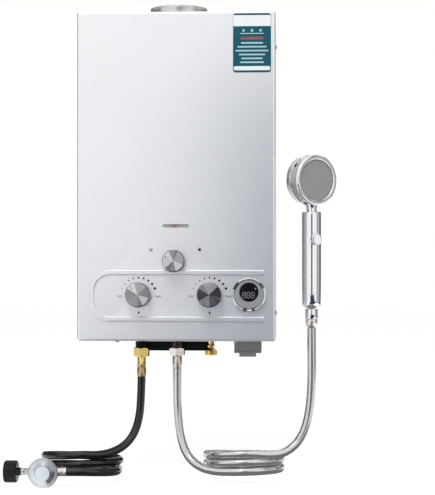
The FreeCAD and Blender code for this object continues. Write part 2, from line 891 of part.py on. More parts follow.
def cover_screws():
    """Pan head screws: two in each side, and two up through the lip into the panel."""
    screws = []
    profile = [(0, -s.screw_length), (s.screw_radius, -s.screw_length), (s.screw_radius, 0),
               (s.screw_head, 0), (s.screw_head, s.screw_head_high / 2),
               (s.screw_head / 2, s.screw_head_high), (0, s.screw_head_high)]
    for side in (-1, 1):
        for z in screw_levels:
            turn = ALONG_X if side == 1 else ALONG_LEFT
            screws.append(turned("cover_screw", profile, side * half_width, flange_y, z, turn))
        screws.append(turned("low_screw", profile, side * s.low_screw_x, low_screw_y, bottom,
                             UPSIDE_DOWN))
    node(group("cover_screws", *screws), "cover_screws")


def flue_collar():
    """Short flue socket: a flange on the hood and a rolled bead at the mouth."""
    radius = s.flue_radius
    high = s.hood_drop + s.flue_stand
    wall = s.flue_wall
    profile = [(radius - wall, 0), (radius + s.flue_flange, 0), (radius + s.flue_flange, wall),
               (radius, wall), (radius, high - 3 * s.flue_bead),
               (radius + s.flue_bead, high - 2 * s.flue_bead),
               (radius + s.flue_bead, high - s.flue_bead), (radius, high), (radius - wall, high)]
    node(turned("flue_collar", profile, 0, middle, hood_top_z), "flue_collar")


def sight_window():
    reach = s.slot_length / 2 + s.window_lap
    rise = bottom + s.slot_rise
    back = front + s.cover_sheet
    node(box("sight_window", (-reach, reach), (back, back + s.window_sheet),
             (rise - s.slot_high / 2 - s.window_lap, rise + s.slot_high / 2 + s.window_lap)),
         "sight_window")


# Combustion

def exhaust_hood():
    """Tapered sheet hood between the heat exchanger and the flue."""
    body = new_body("hood_body", 0, middle, hood_bottom_z)
    levels = []
    for name, inset, z in (("hood_outer", 0, 0), ("hood_inner", s.hood_sheet, -s.hood_sheet)):
        low = new_sketch(body, "XY_Plane", name + "_foot")
        wide = s.exchanger_width / 2 - inset
        deep = s.exchanger_depth / 2 - inset
        draw_box(low, (-wide, wide), (-deep, deep))
        high = new_sketch(body, "XY_Plane", name + "_head", s.hood_high + z)
        reach = s.hood_top / 2 - inset
        draw_box(high, (-reach, reach), (-reach, reach))
        levels.append((low, high))
    for kind, (low, high) in zip(("AdditiveLoft", "SubtractiveLoft"), levels):
        loft = body.newObject("PartDesign::" + kind, low.Name + "_loft")
        loft.Profile = low
        loft.Sections = [high]
        loft.Ruled = True
    mouth = new_sketch(body, "XY_Plane", "hood_mouth", s.hood_high)
    draw_circle(mouth, 0, 0, s.flue_radius - s.flue_wall)
    pocket(body, mouth, 2 * s.hood_sheet)
    node(body, "exhaust_hood")


def tube_rows():
    """The y place of each pass of the heat exchanger's tube."""
    count = int(number(s.tube_count))
    return [middle + s.tube_pitch * (row - (count - 1) / 2) for row in range(count)]


tube_z = hood_bottom_z - s.tube_drop


def tube_holes(name):
    wide = s.exchanger_width
    return [rod(name, s.tube_radius + s.tube_gap, 2 * wide, -wide, y, tube_z, ALONG_X)
            for y in tube_rows()]


def heat_exchanger_shell():
    wide = s.exchanger_width / 2
    deep = s.exchanger_depth / 2
    wall = s.exchanger_sheet
    outer = box("exchanger_outer", (-wide, wide), (middle - deep, middle + deep),
                (exchanger_bottom_z, hood_bottom_z))
    inner = box("exchanger_inner", (wall - wide, wide - wall), (middle - deep + wall, middle + deep - wall),
                (exchanger_bottom_z - wall, hood_bottom_z + wall))
    node(cut("heat_exchanger_shell", outer, inner, *tube_holes("shell_tube_hole")),
         "heat_exchanger_shell")


def heat_exchanger_fins():
    """A stack of thin fins threaded on the tube's passes."""
    count = int(number(s.fin_count))
    deep = s.exchanger_depth / 2 - s.exchanger_sheet - s.fin_gap
    pitch = s.exchanger_width / count
    fins = []
    for index in range(count):
        x = pitch * (index + 0.5) - s.exchanger_width / 2
        fins.append(box("fin", (x - s.fin_sheet / 2, x + s.fin_sheet / 2),
                        (middle - deep, middle + deep),
                        (tube_z - s.fin_high / 2, tube_z + s.fin_high / 2)))
    node(cut("heat_exchanger_fins", group("fin_stack", *fins), *tube_holes("fin_tube_hole")),
         "heat_exchanger_fins")


def heat_exchanger_tube():
    """One tube that passes back and forth through the fins with round returns."""
    rows = tube_rows()
    reach = s.exchanger_width / 2 + s.tube_stub + s.tube_bend / 2
    end = s.exchanger_width / 2 + s.tube_stub
    points = [(end, rows[0], tube_z)]
    side = -1
    for here, after in zip(rows, rows[1:]):
        points.append((side * reach, here, tube_z))
        points.append((side * reach, after, tube_z))
        side = -side
    points.append((side * end, rows[-1], tube_z))
    radii = [number(s.tube_bend)] * (len(points) - 2)
    node(swept("heat_exchanger_tube", rounded_path(points, radii), s.tube_radius),
         "heat_exchanger_tube")


burner_front_y = middle - s.burner_length / 2
mouth_front_y = burner_front_y - s.mouth_length
mouth_z = burner_bottom_z + s.mouth_flare
rail_y = mouth_front_y - s.jet_gap - s.jet_length - s.rail_radius


def burner_places():
    """The x place of each burner."""
    count = int(number(s.burner_count))
    return [s.burner_pitch * (index - (count - 1) / 2) for index in range(count)]


def burner_rack():
    """Slotted burner bars side by side, each with a flared mouth for its jet."""
    burners = []
    for x in burner_places():
        body = new_body("burner", x, middle, burner_bottom_z)
        half = s.burner_width / 2
        high = s.burner_high
        waist = half / 2
        section = new_sketch(body, "XZ_Plane", "burner_section", -s.burner_length / 2)
        draw_corners(section, [(-half, 0), (half, 0), (half, high * 0.4), (waist, high * 0.5),
                               (waist, high * 0.65), (half, high * 0.75), (half, high),
                               (-half, high), (-half, high * 0.75), (-waist, high * 0.65),
                               (-waist, high * 0.5), (-half, high * 0.4)])
        pad(body, section, s.burner_length)
        port = new_sketch(body, "XY_Plane", "burner_port", high)
        first = -(s.burner_port_count - 1) / 2 * s.burner_port_pitch
        draw_box(port, (-half * 0.8, half * 0.8),
                 (first - s.burner_port / 2, first + s.burner_port / 2))
        slot = pocket(body, port, s.burner_port_deep)
        row = body.newObject("PartDesign::LinearPattern", "burner_ports")
        row.Originals = [slot]
        row.Direction = (port, ["V_Axis"])
        row.Mode = "Spacing"
        bind(row, Occurrences=s.burner_port_count, Offset=s.burner_port_pitch)
        body.Tip = row
        throat = s.mouth_radius - s.mouth_wall
        mouth = cone("burner_mouth", s.mouth_radius, s.mouth_flare, s.mouth_length,
                     x, burner_front_y, mouth_z, ALONG_FRONT)
        bore = rod("burner_bore", throat, 2 * s.mouth_length, x, burner_front_y + s.mouth_length,
                   mouth_z, ALONG_FRONT)
        burners.append(cut("burner_with_mouth", fuse("burner_parts", body, mouth), bore))
    node(group("burner_rack", *burners), "burner_rack")


def burner_frame():
    """Open sheet frame under the heat exchanger with two rails that carry the burners."""
    wide = s.exchanger_width / 2
    deep = s.exchanger_depth / 2
    wall = s.frame_sheet
    rail = 2 * wall
    low = burner_bottom_z - rail
    outer = box("frame_outer", (-wide, wide), (middle - deep, middle + deep),
                (low, exchanger_bottom_z))
    inner = box("frame_inner", (wall - wide, wide - wall),
                (middle - deep + wall, middle + deep - wall), (low - wall, exchanger_bottom_z + wall))
    span = s.burner_pitch * s.burner_count / 2
    window = box("frame_window", (-span, span), (middle - 2 * deep, middle - deep + 2 * wall),
                 (burner_bottom_z, mouth_z + s.mouth_flare + wall))
    holes = [rod("frame_spark_hole", s.electrode_radius + s.tube_gap, deep, x, middle - deep / 2,
                 electrode_z, ALONG_FRONT) for x in electrode_places]
    ring = cut("frame_ring", outer, inner, window, *holes)
    rails = []
    for side in (-1, 1):
        y = middle + side * s.burner_length / 3
        rails.append(box("frame_rail", (-wide, wide), (y - 2 * wall, y + 2 * wall),
                         (low, burner_bottom_z)))
    node(fuse("burner_frame", ring, *rails), "burner_frame")


electrode_z = burner_top_z + s.burner_drop / 2
electrode_places = [-2 * s.burner_pitch, 2 * s.burner_pitch]


def electrodes():
    """Spark pin and flame sensor, each in a ceramic sleeve on the frame's front."""
    pins = []
    wall_y = middle - s.exchanger_depth / 2
    for x in electrode_places:
        radius = s.electrode_radius
        profile = [(0, 0), (radius, 0), (radius, s.electrode_length / 2),
                   (2 * radius, s.electrode_length / 2), (2 * radius, s.electrode_length - 2),
                   (radius, s.electrode_length), (0, s.electrode_length)]
        pins.append(turned("electrode", profile, x, wall_y + s.electrode_length / 2, electrode_z,
                           ALONG_FRONT))
    node(group("electrodes", *pins), "electrodes")


# Valves and pipes. Each valve's block is centred under its own knob or connection

block_high = s.valve_high / 2
valve_bottom_z = control_z - block_high
valve_top_z = control_z + block_high
valve_front_y = middle - s.valve_depth / 2
boss_front_y = valve_front_y - s.boss_length
manifold_y = middle - s.valve_depth / 4


def valve_block(name, x, z, wide, high):
    """A rounded cast block with a boss that guides its knob's spindle."""
    body = new_body(name, x, middle, z)
    outline = new_sketch(body, "XY_Plane", name + "_outline", -high / 2)
    draw_rounded_box(outline, (-wide / 2, wide / 2), (-s.valve_depth / 2, s.valve_depth / 2),
                     s.valve_round)
    pad(body, outline, high)
    return body


def guide_boss(name, x, z):
    return rod(name, s.boss_radius, s.boss_length + 2, x, valve_front_y + 2, z, ALONG_FRONT)


def guide_bore(name, x, z):
    return rod(name, s.spindle_radius + s.spindle_fit, s.spindle_seat + 2, x,
               boss_front_y + s.spindle_seat, z, ALONG_FRONT)


def gas_valve():
    x = s.gas_knob_x
    block = valve_block("gas_valve_block", x, control_z, s.valve_width, s.valve_high)
    parts = fuse("gas_valve_parts", block, guide_boss("gas_boss", x, control_z))
    node(cut("gas_valve", parts, guide_bore("gas_bore", x, control_z)), "gas_valve")


def solenoid_valve():
    """Magnet valve on the gas valve's outer side: a ribbed can with a cap."""
    radius = s.solenoid_radius
    high = s.solenoid_high
    rib = 2.0
    profile = [(0, 0), (radius, 0), (radius, high * 0.3), (radius - rib, high * 0.35),
               (radius - rib, high * 0.45), (radius, high * 0.5), (radius, high * 0.85),
               (radius * 0.5, high * 0.9), (radius * 0.5, high), (0, high)]
    node(turned("solenoid_valve", profile, s.gas_knob_x - s.valve_width / 2, middle, control_z,
                ALONG_LEFT), "solenoid_valve")


def water_valve():
    x = s.water_knob_x
    block = valve_block("water_valve_block", x, control_z, s.valve_width, s.valve_high)
    parts = fuse("water_valve_parts", block, guide_boss("water_boss", x, control_z))
    node(cut("water_valve", parts, guide_bore("water_bore", x, control_z)), "water_valve")


diaphragm_x = s.water_knob_x - s.valve_width / 2
sleeve_end_x = s.gas_knob_x + s.valve_width / 2


def diaphragm_housing():
    """Round pressure housing on the water valve, with the push rod's sleeve to the gas valve."""
    radius = s.diaphragm_radius
    wide = s.diaphragm_width
    rim = s.diaphragm_rim
    reach = diaphragm_x - sleeve_end_x
    profile = [(0, 0), (radius - rim, 0), (radius - rim, wide * 0.35), (radius, wide * 0.35),
               (radius, wide * 0.65), (radius - rim, wide * 0.65), (radius - 2 * rim, wide),
               (s.boss_radius, wide), (s.boss_radius, reach), (0, reach)]
    node(turned("diaphragm_housing", profile, diaphragm_x, middle, control_z, ALONG_LEFT),
         "diaphragm_housing")


def micro_switch():
    """Small switch on the push rod's sleeve, with its plunger."""
    x = (diaphragm_x - s.diaphragm_width + sleeve_end_x) / 2
    z = control_z + s.boss_radius
    case = box("switch_case", (x - s.switch_length / 2, x + s.switch_length / 2),
               (middle - s.switch_depth / 2, middle + s.switch_depth / 2), (z, z + s.switch_high))
    blades = [rod("switch_blade", 1.0, s.switch_high / 2, x + step * s.switch_length / 4, middle,
                  z + s.switch_high) for step in (-1, 0, 1)]
    node(fuse("micro_switch", case, *blades), "micro_switch")


def gas_manifold():
    """Segment valve, supply pipes and the rail with one jet per burner, soldered as one."""
    x = s.season_knob_x
    block = valve_block("segment_block", x, season_z, s.segment_width, s.segment_high)
    boss = guide_boss("segment_boss", x, season_z)
    rail_half = s.burner_pitch * s.burner_count / 2
    rail = rod("gas_rail", s.rail_radius, 2 * rail_half, -rail_half, rail_y, mouth_z, ALONG_X)
    jets = []
    for place_x in burner_places():
        jets.append(cone("gas_jet", s.jet_radius / 2, s.jet_radius, s.jet_length + s.rail_radius,
                         place_x, mouth_front_y - s.jet_gap, mouth_z, ALONG_FRONT))
    block_top = season_z + s.segment_high / 2
    knee = (block_top + mouth_z) / 2
    bend = number(s.gas_pipe_bend)
    rising = rounded_path([(x, manifold_y, block_top - 1), (x, manifold_y, knee),
                           (x, rail_y, knee + s.gas_pipe_rise), (x, rail_y, mouth_z)],
                          [bend, bend])
    joining = rounded_path([(s.gas_knob_x, manifold_y, valve_top_z),
                            (s.gas_knob_x, manifold_y, season_z), (x, manifold_y, season_z)],
                           [bend])
    parts = fuse("manifold_parts", block, boss, rail, *jets,
                 swept("rising_pipe", rising, s.gas_pipe_radius),
                 swept("joining_pipe", joining, s.gas_pipe_radius))
    node(cut("gas_manifold", parts, guide_bore("segment_bore", x, season_z)), "gas_manifold")


def igniter_module():
    """Pulse igniter on the back plate: a moulded case with two terminals."""
    back = -s.back_sheet
    z = bottom + s.module_rise
    body = new_body("igniter_case", s.module_x, back, z)
    outline = new_sketch(body, "XZ_Plane", "igniter_outline")
    draw_rounded_box(outline, (-s.module_width / 2, s.module_width / 2), (0, s.module_high), 3.0)
    block = pad(body, outline, s.module_depth)
    rounded(body, block, as_size(2.0), lambda point: near(point.y, -s.module_depth))
    terminals = [rod("igniter_terminal", 3.0, 7.0, s.module_x + side * s.module_width / 4,
                     back - s.module_depth / 2, z + s.module_high - 1) for side in (-1, 1)]
    node(fuse("igniter_module", body, *terminals), "igniter_module")


fitting_top_z = panel_top_z + s.fitting_stand


def connections():
    """The gas inlet, the hot outlet and the free cold inlet under the casing."""
    thread = s.thread_radius
    low = bottom - s.thread_length
    gas_high = valve_bottom_z - low
    gas = [(0, 0), (thread - 1, 0), (thread, 1), (thread, s.thread_length + 6),
           (thread - 1, s.thread_length + 6), (thread - 1, gas_high), (0, gas_high)]
    node(turned("gas_inlet_union", gas, s.gas_x, middle, low), "gas_inlet_union")
    hot_high = fitting_top_z - low
    hot = [(0, 0), (thread - 1, 0), (thread, 1), (thread, hot_high - 2), (thread - 2, hot_high),
           (0, hot_high)]
    node(turned("hot_outlet_fitting", hot, s.hot_x, middle, low), "hot_outlet_fitting")
    drop = s.inlet_drop
    neck = s.inlet_neck
    shoulder = s.inlet_thread
    cold_high = valve_bottom_z - bottom + drop
    bore = neck - 2
    cold = [(bore, 0), (thread - 1, 0), (thread, 1), (thread, shoulder), (neck, shoulder + 6),
            (neck, cold_high), (0, cold_high), (0, cold_high - 4), (bore, cold_high - 4)]
    node(turned("cold_inlet_fitting", cold, s.cold_x, middle, bottom - drop), "cold_inlet_fitting")


def water_pipes():
    """Bent copper pipes from the water valve to the exchanger and down to the outlet."""
    rows = tube_rows()
    start = s.exchanger_width / 2 + s.tube_stub
    aside = inner_half - s.pipe_gap - s.pipe_radius
    bend = min(number(s.pipe_bend), 0.9 * number(aside - start))
    cold = [(s.water_knob_x, middle, valve_top_z),
            (s.water_knob_x, middle, valve_top_z + s.cold_pipe_knee),
            (aside, rows[-1], valve_top_z + s.cold_pipe_turn), (aside, rows[-1], tube_z),
            (start, rows[-1], tube_z)]
    node(swept("cold_pipe", rounded_path(cold, [bend] * 3), s.pipe_radius), "cold_pipe")
    x = diaphragm_x - s.diaphragm_width / 2
    level = season_z + s.hot_pipe_level
    hot = [(start, rows[0], tube_z), (aside, rows[0], tube_z), (aside, rows[0], level),
           (x, rows[0], level), (x, rows[0], bottom + s.hot_pipe_low),
           (s.hot_x, middle, bottom + s.hot_pipe_foot), (s.hot_x, middle, fitting_top_z)]
    radii = [bend] * 3 + [number(s.pipe_small_bend)] * 2
    node(swept("hot_pipe", rounded_path(hot, radii), s.pipe_radius), "hot_pipe")


def pipe_bracket():
    """Bent black bracket: a flange under the panel and a web behind the connections."""
    sheet_thick = s.bracket_sheet
    body = new_body("bracket_body", s.bracket_left, middle, bottom + s.cover_sheet)
    section = new_sketch(body, "YZ_Plane", "bracket_section")
    back = s.bracket_back
    low = -s.bracket_drop - s.cover_sheet
    inside = s.bracket_bend - sheet_thick
    draw_rounded(section, [(-s.bracket_front, 0, 0), (-s.bracket_front, -sheet_thick, 0),
                           (back - sheet_thick, -sheet_thick, inside), (back - sheet_thick, low, 0),
                           (back, low, 0), (back, 0, s.bracket_bend)])
    pad(body, section, s.bracket_right - s.bracket_left)
    tools = [rod("bracket_hole", s.thread_radius + s.panel_hole_gap, 4 * sheet_thick, x, middle,
                 bottom - 2 * sheet_thick) for x in (s.gas_x, s.hot_x)]
    tools.append(rod("bracket_notch", s.inlet_neck + s.panel_hole_gap, 4 * sheet_thick, s.cold_x,
                     middle, bottom - 2 * sheet_thick))
    node(cut("pipe_bracket", body, *tools), "pipe_bracket")


# Battery case

battery_y = (-s.battery_front, s.battery_length - s.battery_front)
battery_x = (s.battery_x - s.battery_width / 2, s.battery_x + s.battery_width / 2)
hinge_y = battery_y[1] + s.lid_barrel + s.seat_gap
hinge_z = bottom - s.battery_drop - s.seat_gap - s.lid_sheet / 2


def battery_case():
    """Open-bottomed box for two cells, with a pinned hinge for its lid."""
    x_mid = s.battery_x
    y_mid = (battery_y[0] + battery_y[1]) / 2
    low = bottom - s.battery_drop
    body = new_body("battery_box", x_mid, y_mid, low)
    high = s.battery_drop + s.battery_rise
    wide = s.battery_width / 2
    deep = s.battery_length / 2
    wall = s.battery_wall
    outline = new_sketch(body, "XY_Plane", "battery_outline")
    draw_rounded_box(outline, (-wide, wide), (-deep, deep), s.battery_round)
    pad(body, outline, high)
    hollow = new_sketch(body, "XY_Plane", "battery_hollow")
    draw_box(hollow, (wall - wide, wide - wall), (wall - deep, deep - wall))
    pocket(body, hollow, high - wall, reverse=True)
    ears = []
    outside = s.lid_barrel_length / 2 + s.seat_gap
    for side in (-1, 1):
        inner = x_mid + side * outside
        outer = x_mid + side * (outside + s.lid_ear)
        span = (inner, outer) if side == 1 else (outer, inner)
        ears.append(rod("hinge_ear", s.lid_barrel, s.lid_ear, span[0], hinge_y, hinge_z, ALONG_X))
        ears.append(box("hinge_cheek", span, (hinge_y - s.lid_barrel, hinge_y + s.lid_barrel),
                        (hinge_z, low + s.lid_barrel)))
        ears.append(box("hinge_root", span, (battery_y[1] - wall, hinge_y), (low, low + s.lid_barrel)))
    pin = rod("hinge_pin", s.lid_pin, 2 * outside, x_mid - outside, hinge_y, hinge_z, ALONG_X)
    node(fuse("battery_case", body, *ears, pin), "battery_case")


def battery_lid():
    """Lid under the battery case: a plate with a thumb tab and a hinge barrel."""
    low = bottom - s.battery_drop - s.seat_gap - s.lid_sheet
    high = low + s.lid_sheet
    plate = box("lid_plate", battery_x, battery_y, (low, high))
    tab = box("lid_tab", (s.battery_x - s.lid_tab / 2, s.battery_x + s.lid_tab / 2),
              (battery_y[0], battery_y[0] + s.lid_tab_deep), (low - s.lid_tab_drop, low))
    arm_half = s.lid_barrel_length / 2
    start = s.battery_x - arm_half
    arm = box("lid_arm", (start, s.battery_x + arm_half), (battery_y[1] - s.lid_barrel, hinge_y),
              (low, high))
    barrel = rod("lid_barrel", s.lid_barrel, s.lid_barrel_length, start, hinge_y, hinge_z, ALONG_X)
    bore = rod("lid_bore", s.lid_pin + s.spindle_fit, 2 * s.lid_barrel_length,
               start - arm_half, hinge_y, hinge_z, ALONG_X)
    node(cut("battery_lid", fuse("lid_parts", plate, tab, arm, barrel), bore), "battery_lid")


cell_low_z = bottom - s.battery_drop + s.seat_gap
cell_y = [(battery_y[0] + battery_y[1]) / 2 + side * s.cell_pitch / 2 for side in (-1, 1)]


def batteries():
    """Two large cells that stand side by side."""
    cells = []
    radius = s.cell_radius
    profile = [(0, 0), (radius - 1, 0), (radius, 1), (radius, s.cell_high - 1),
               (radius - 1, s.cell_high), (s.cell_tip, s.cell_high),
               (s.cell_tip, s.cell_high + s.cell_tip_high), (0, s.cell_high + s.cell_tip_high)]
    for y in cell_y:
        cells.append(turned("cell", profile, s.battery_x, y, cell_low_z))
    node(group("batteries", *cells), "batteries")


def battery_contacts():
    """Coned springs pressed between the case's roof and the cells' tips."""
    low = cell_low_z + s.cell_high + s.cell_tip_high
    high = bottom + s.battery_rise - s.battery_wall
    springs = []
    for y in cell_y:
        foot = s.contact_sheet
        profile = [(0, 0), (s.cell_tip, 0), (s.cell_tip, foot), (s.cell_tip * 2, high - low - foot),
                   (s.cell_tip * 2, high - low), (0, high - low)]
        springs.append(turned("contact", profile, s.battery_x, y, low))
    node(group("battery_contacts", *springs), "battery_contacts")


# Temperature display

def gauge():
    """Round display in the panel: a rolled bezel, a stepped body and a dark lens."""
    outer = s.bezel_radius
    inner = s.bezel_inner
    high = s.bezel_high
    middle_radius = (outer + inner) / 2
    bezel = turned("bezel_ring", [(inner, 0), (outer, 0), (outer, high * 0.45),
                                  (outer - s.bezel_round * 0.4, high * 0.8), (middle_radius, high),
                                  (inner + s.bezel_round * 0.4, high * 0.8), (inner, high * 0.45)],
                   s.gauge_x, front, control_z, ALONG_FRONT)
    node(bezel, "thermometer_bezel")
    face = s.gauge_face
    behind = s.gauge_behind
    puck = turned("gauge_puck", [(0, -behind), (s.gauge_barrel, -behind), (s.gauge_barrel, 0),
                                 (s.gauge_radius, 0), (s.gauge_radius, face - 1),
                                 (s.gauge_radius - 1.5, face), (0, face)],
                  s.gauge_x, front, control_z, ALONG_FRONT)
    seat_z = control_z + s.display_offset
    recess = rod("display_recess", s.display_radius + s.spindle_fit, 2 * s.display_sheet,
                 s.gauge_x, front - face + s.display_sheet, seat_z, ALONG_FRONT)
    node(cut("thermometer_body", puck, recess), "thermometer_body")
    node(rod("thermometer_display", s.display_radius, s.display_sheet * 0.8,
             s.gauge_x, front - face + s.display_sheet, seat_z, ALONG_FRONT), "thermometer_display")


# Knobs

def knob(label, x, z, radius, high, pointer, gap):
    """Turned metal cap with a hollow back, a boss and a groove that points at the scale."""
    wall = s.knob_wall
    chamfer = s.knob_chamfer
    bore = s.spindle_radius
    floor = high - wall * 1.5
    deep = s.spindle_end + s.seat_gap
    profile = [(radius, 0), (radius, high - chamfer), (radius - chamfer, high), (0, high), (0, deep),
               (bore, deep), (bore, 0), (s.knob_boss, 0), (s.knob_boss, floor),
               (radius - wall, floor), (radius - wall, 0)]
    cap = turned(label + "_cap", profile, x, front - gap, z, ALONG_FRONT * rolled(pointer))
    groove = new_sketch(cap, "XY_Plane", label + "_groove", high)
    draw_box(groove, (-s.knob_mark / 2, s.knob_mark / 2), (radius * 0.55, radius - 2 * chamfer))
    pocket(cap, groove, s.knob_mark / 2)
    node(cap, label)


def spindle(label, x, z, gap):
    """Round spindle from the valve's boss to the knob, with a collar on the boss's face."""
    start = boss_front_y + s.spindle_seat - 1
    end = front - gap - s.spindle_end
    radius = s.spindle_radius
    seat = s.spindle_seat - 1 + s.seat_gap
    profile = [(0, 0), (radius, 0), (radius, seat), (s.spindle_collar, seat),
               (s.spindle_collar, seat + 2), (radius, seat + 2), (radius, start - end),
               (0, start - end)]
    node(turned(label, profile, x, start, z, ALONG_FRONT), label)


def controls():
    high = s.knob_high
    over_bead = s.bead_high + s.knob_bead_gap
    for name, x, z, radius, high, pointer, gap in (
            ("gas", s.gas_knob_x, control_z, s.knob_radius, high, s.gas_pointer, s.knob_gap),
            ("water", s.water_knob_x, control_z, s.knob_radius, high, s.water_pointer, s.knob_gap),
            ("season", s.season_knob_x, season_z, s.season_radius, s.season_high,
             s.season_pointer, over_bead)):
        knob(name + "_knob", x, z, radius, high, pointer, gap)
        spindle(name + "_spindle", x, z, gap)


# Hose ends under the casing

def hex_nut(label, x, high, hole):
    """Six-sided hose nut with bevelled corners, a threaded bore and a shoulder."""
    low = bottom - s.nut_drop - high
    corner = s.nut_across / math.sqrt(3)
    bevel = s.nut_chamfer
    blank = hexagon(label + "_blank", s.nut_across, high, x, middle, low)
    envelope = turned(label + "_bevels", [(0, 0), (corner - bevel, 0), (corner, bevel),
                                          (corner, high - bevel), (corner - bevel, high),
                                          (0, high)], x, middle, low)
    thread = rod(label + "_thread", s.thread_radius + s.thread_fit, high, x, middle,
                 low + s.nut_shoulder)
    bore = rod(label + "_bore", hole + s.thread_fit, 2 * high, x, middle, low - high / 2)
    node(cut(label, common(label + "_body", blank, envelope), thread, bore), label)


def hose_tails():
    """The nut and the flanged tail at the top end of each hose."""
    flange = s.thread_radius - 1
    flange_top = bottom - s.thread_length - s.seat_gap
    sleeve = s.gas_sleeve_radius
    ferrule = s.gas_ferrule_radius
    crimp = ferrule - s.ferrule_crimp
    low = gas_hose_z
    step = s.gas_ferrule_high / 6
    nut_low = bottom - s.nut_drop - s.nut_high
    shoulder = nut_low + s.nut_shoulder + s.thread_fit
    profile = [(0, 0), (ferrule, 0), (ferrule, step), (crimp, 1.3 * step), (crimp, 1.7 * step),
               (ferrule, 2 * step), (ferrule, 4 * step), (crimp, 4.3 * step), (crimp, 4.7 * step),
               (ferrule, 5 * step), (ferrule, 6 * step), (sleeve, 6 * step),
               (sleeve, shoulder - low), (flange, shoulder - low), (flange, flange_top - low),
               (0, flange_top - low)]
    hex_nut("gas_hose_nut", s.gas_x, s.nut_high, sleeve)
    node(turned("gas_hose_tail", profile, s.gas_x, middle, low), "gas_hose_tail")
    sleeve = s.steel_sleeve_radius
    low = steel_hose_z
    nut_low = bottom - s.nut_drop - s.steel_nut_high
    shoulder = nut_low + s.nut_shoulder + s.thread_fit
    profile = [(0, 0), (sleeve - 0.6, 0), (sleeve, 0.6), (sleeve, shoulder - low),
               (flange, shoulder - low), (flange, flange_top - low), (0, flange_top - low)]
    hex_nut("shower_hose_nut", s.hot_x, s.steel_nut_high, sleeve)
    node(turned("shower_hose_tail", profile, s.hot_x, middle, low), "shower_hose_tail")


gas_hose_z = bottom - s.nut_drop - s.nut_high - s.gas_sleeve_high - s.gas_ferrule_high
steel_hose_z = bottom - s.nut_drop - s.steel_nut_high - s.steel_sleeve_high
regulator_z = floor_z + s.regulator_radius
fitting_end_x = s.regulator_x + s.regulator_boss_reach + s.fitting_length
handle_low_z = bottom + s.handle_rise
cone_low_z = handle_low_z - s.seat_gap - s.shower_nut_high - s.cone_high


# Hoses. Each route is a list of chosen points; the heights are below the casing's underside

def coil(label, x, radius, high, hose_radius):
    """The outer shape of a coiled hose, which leans forward from its back edge."""
    tilt = math.radians(number(s.coil_tilt))
    bevel = s.coil_round
    inner = radius - 2 * hose_radius - s.coil_slack
    profile = [(inner, bevel), (inner + bevel, 0), (radius - bevel, 0), (radius, bevel),
               (radius, high - bevel), (radius - bevel, high), (inner + bevel, high),
               (inner, high - bevel)]
    lean = FreeCAD.Rotation(FreeCAD.Vector(1, 0, 0), -number(s.coil_tilt))
    node(turned(label, profile, x, -s.coil_back - radius * math.cos(tilt),
                floor_z + radius * math.sin(tilt), lean), label)


def hoses():
    gas_top = [
        (s.gas_x, middle, gas_hose_z),
        (-62.8, -70.5, bottom - 95),
        (-65, -73, bottom - 129),
        (-73, -80, bottom - 157),
        (-88, -92, bottom - 175),
        (-108, -108, bottom - 184),
        (-129, -122, bottom - 186),
    ]
    gas_low = [
        (-99, -93, bottom - 214.8),
        (-99, -116.9, bottom - 213),
        (-108.1, -139, bottom - 210.5),
        (-125, -155.9, bottom - 208),
        (-147.1, -s.regulator_depth, regulator_z),
        (fitting_end_x, -s.regulator_depth, regulator_z),
    ]
    steel_left = [
        (s.hot_x, middle, steel_hose_z),
        (-3.2, -70.3, bottom - 85),
        (-2, -71, bottom - 124),
        (2, -76, bottom - 160),
        (13, -86, bottom - 190),
        (34, -100, bottom - 207),
        (60, -115, bottom - 212),
        (80, -125, bottom - 211.5),
    ]
    steel_right = [
        (135, -125, bottom - 184),
        (155, -117, bottom - 185),
        (175, -108, bottom - 182),
        (195, -100, bottom - 168),
        (209, -95, bottom - 143),
        (216, -92, bottom - 107),
        (218.4, -90.4, bottom - 65),
        (218.2, -90, bottom - 22),
        (s.handle_x, -s.handle_depth, cone_low_z),
    ]
    node(group("gas_hose", cord("gas_hose_top", gas_top, s.gas_hose_radius),
               cord("gas_hose_low", gas_low, s.gas_hose_radius)), "gas_hose")
    coil("gas_hose_coil", s.gas_coil_x, s.gas_coil_radius, s.gas_coil_high, s.gas_hose_radius)
    node(group("shower_hose", cord("steel_hose_left", steel_left, s.steel_hose_radius),
               cord("steel_hose_right", steel_right, s.steel_hose_radius)), "shower_hose")
    coil("shower_hose_coil", s.steel_coil_x, s.steel_coil_radius, s.steel_coil_high,
         s.steel_hose_radius)


# Regulator at the far end of the gas hose

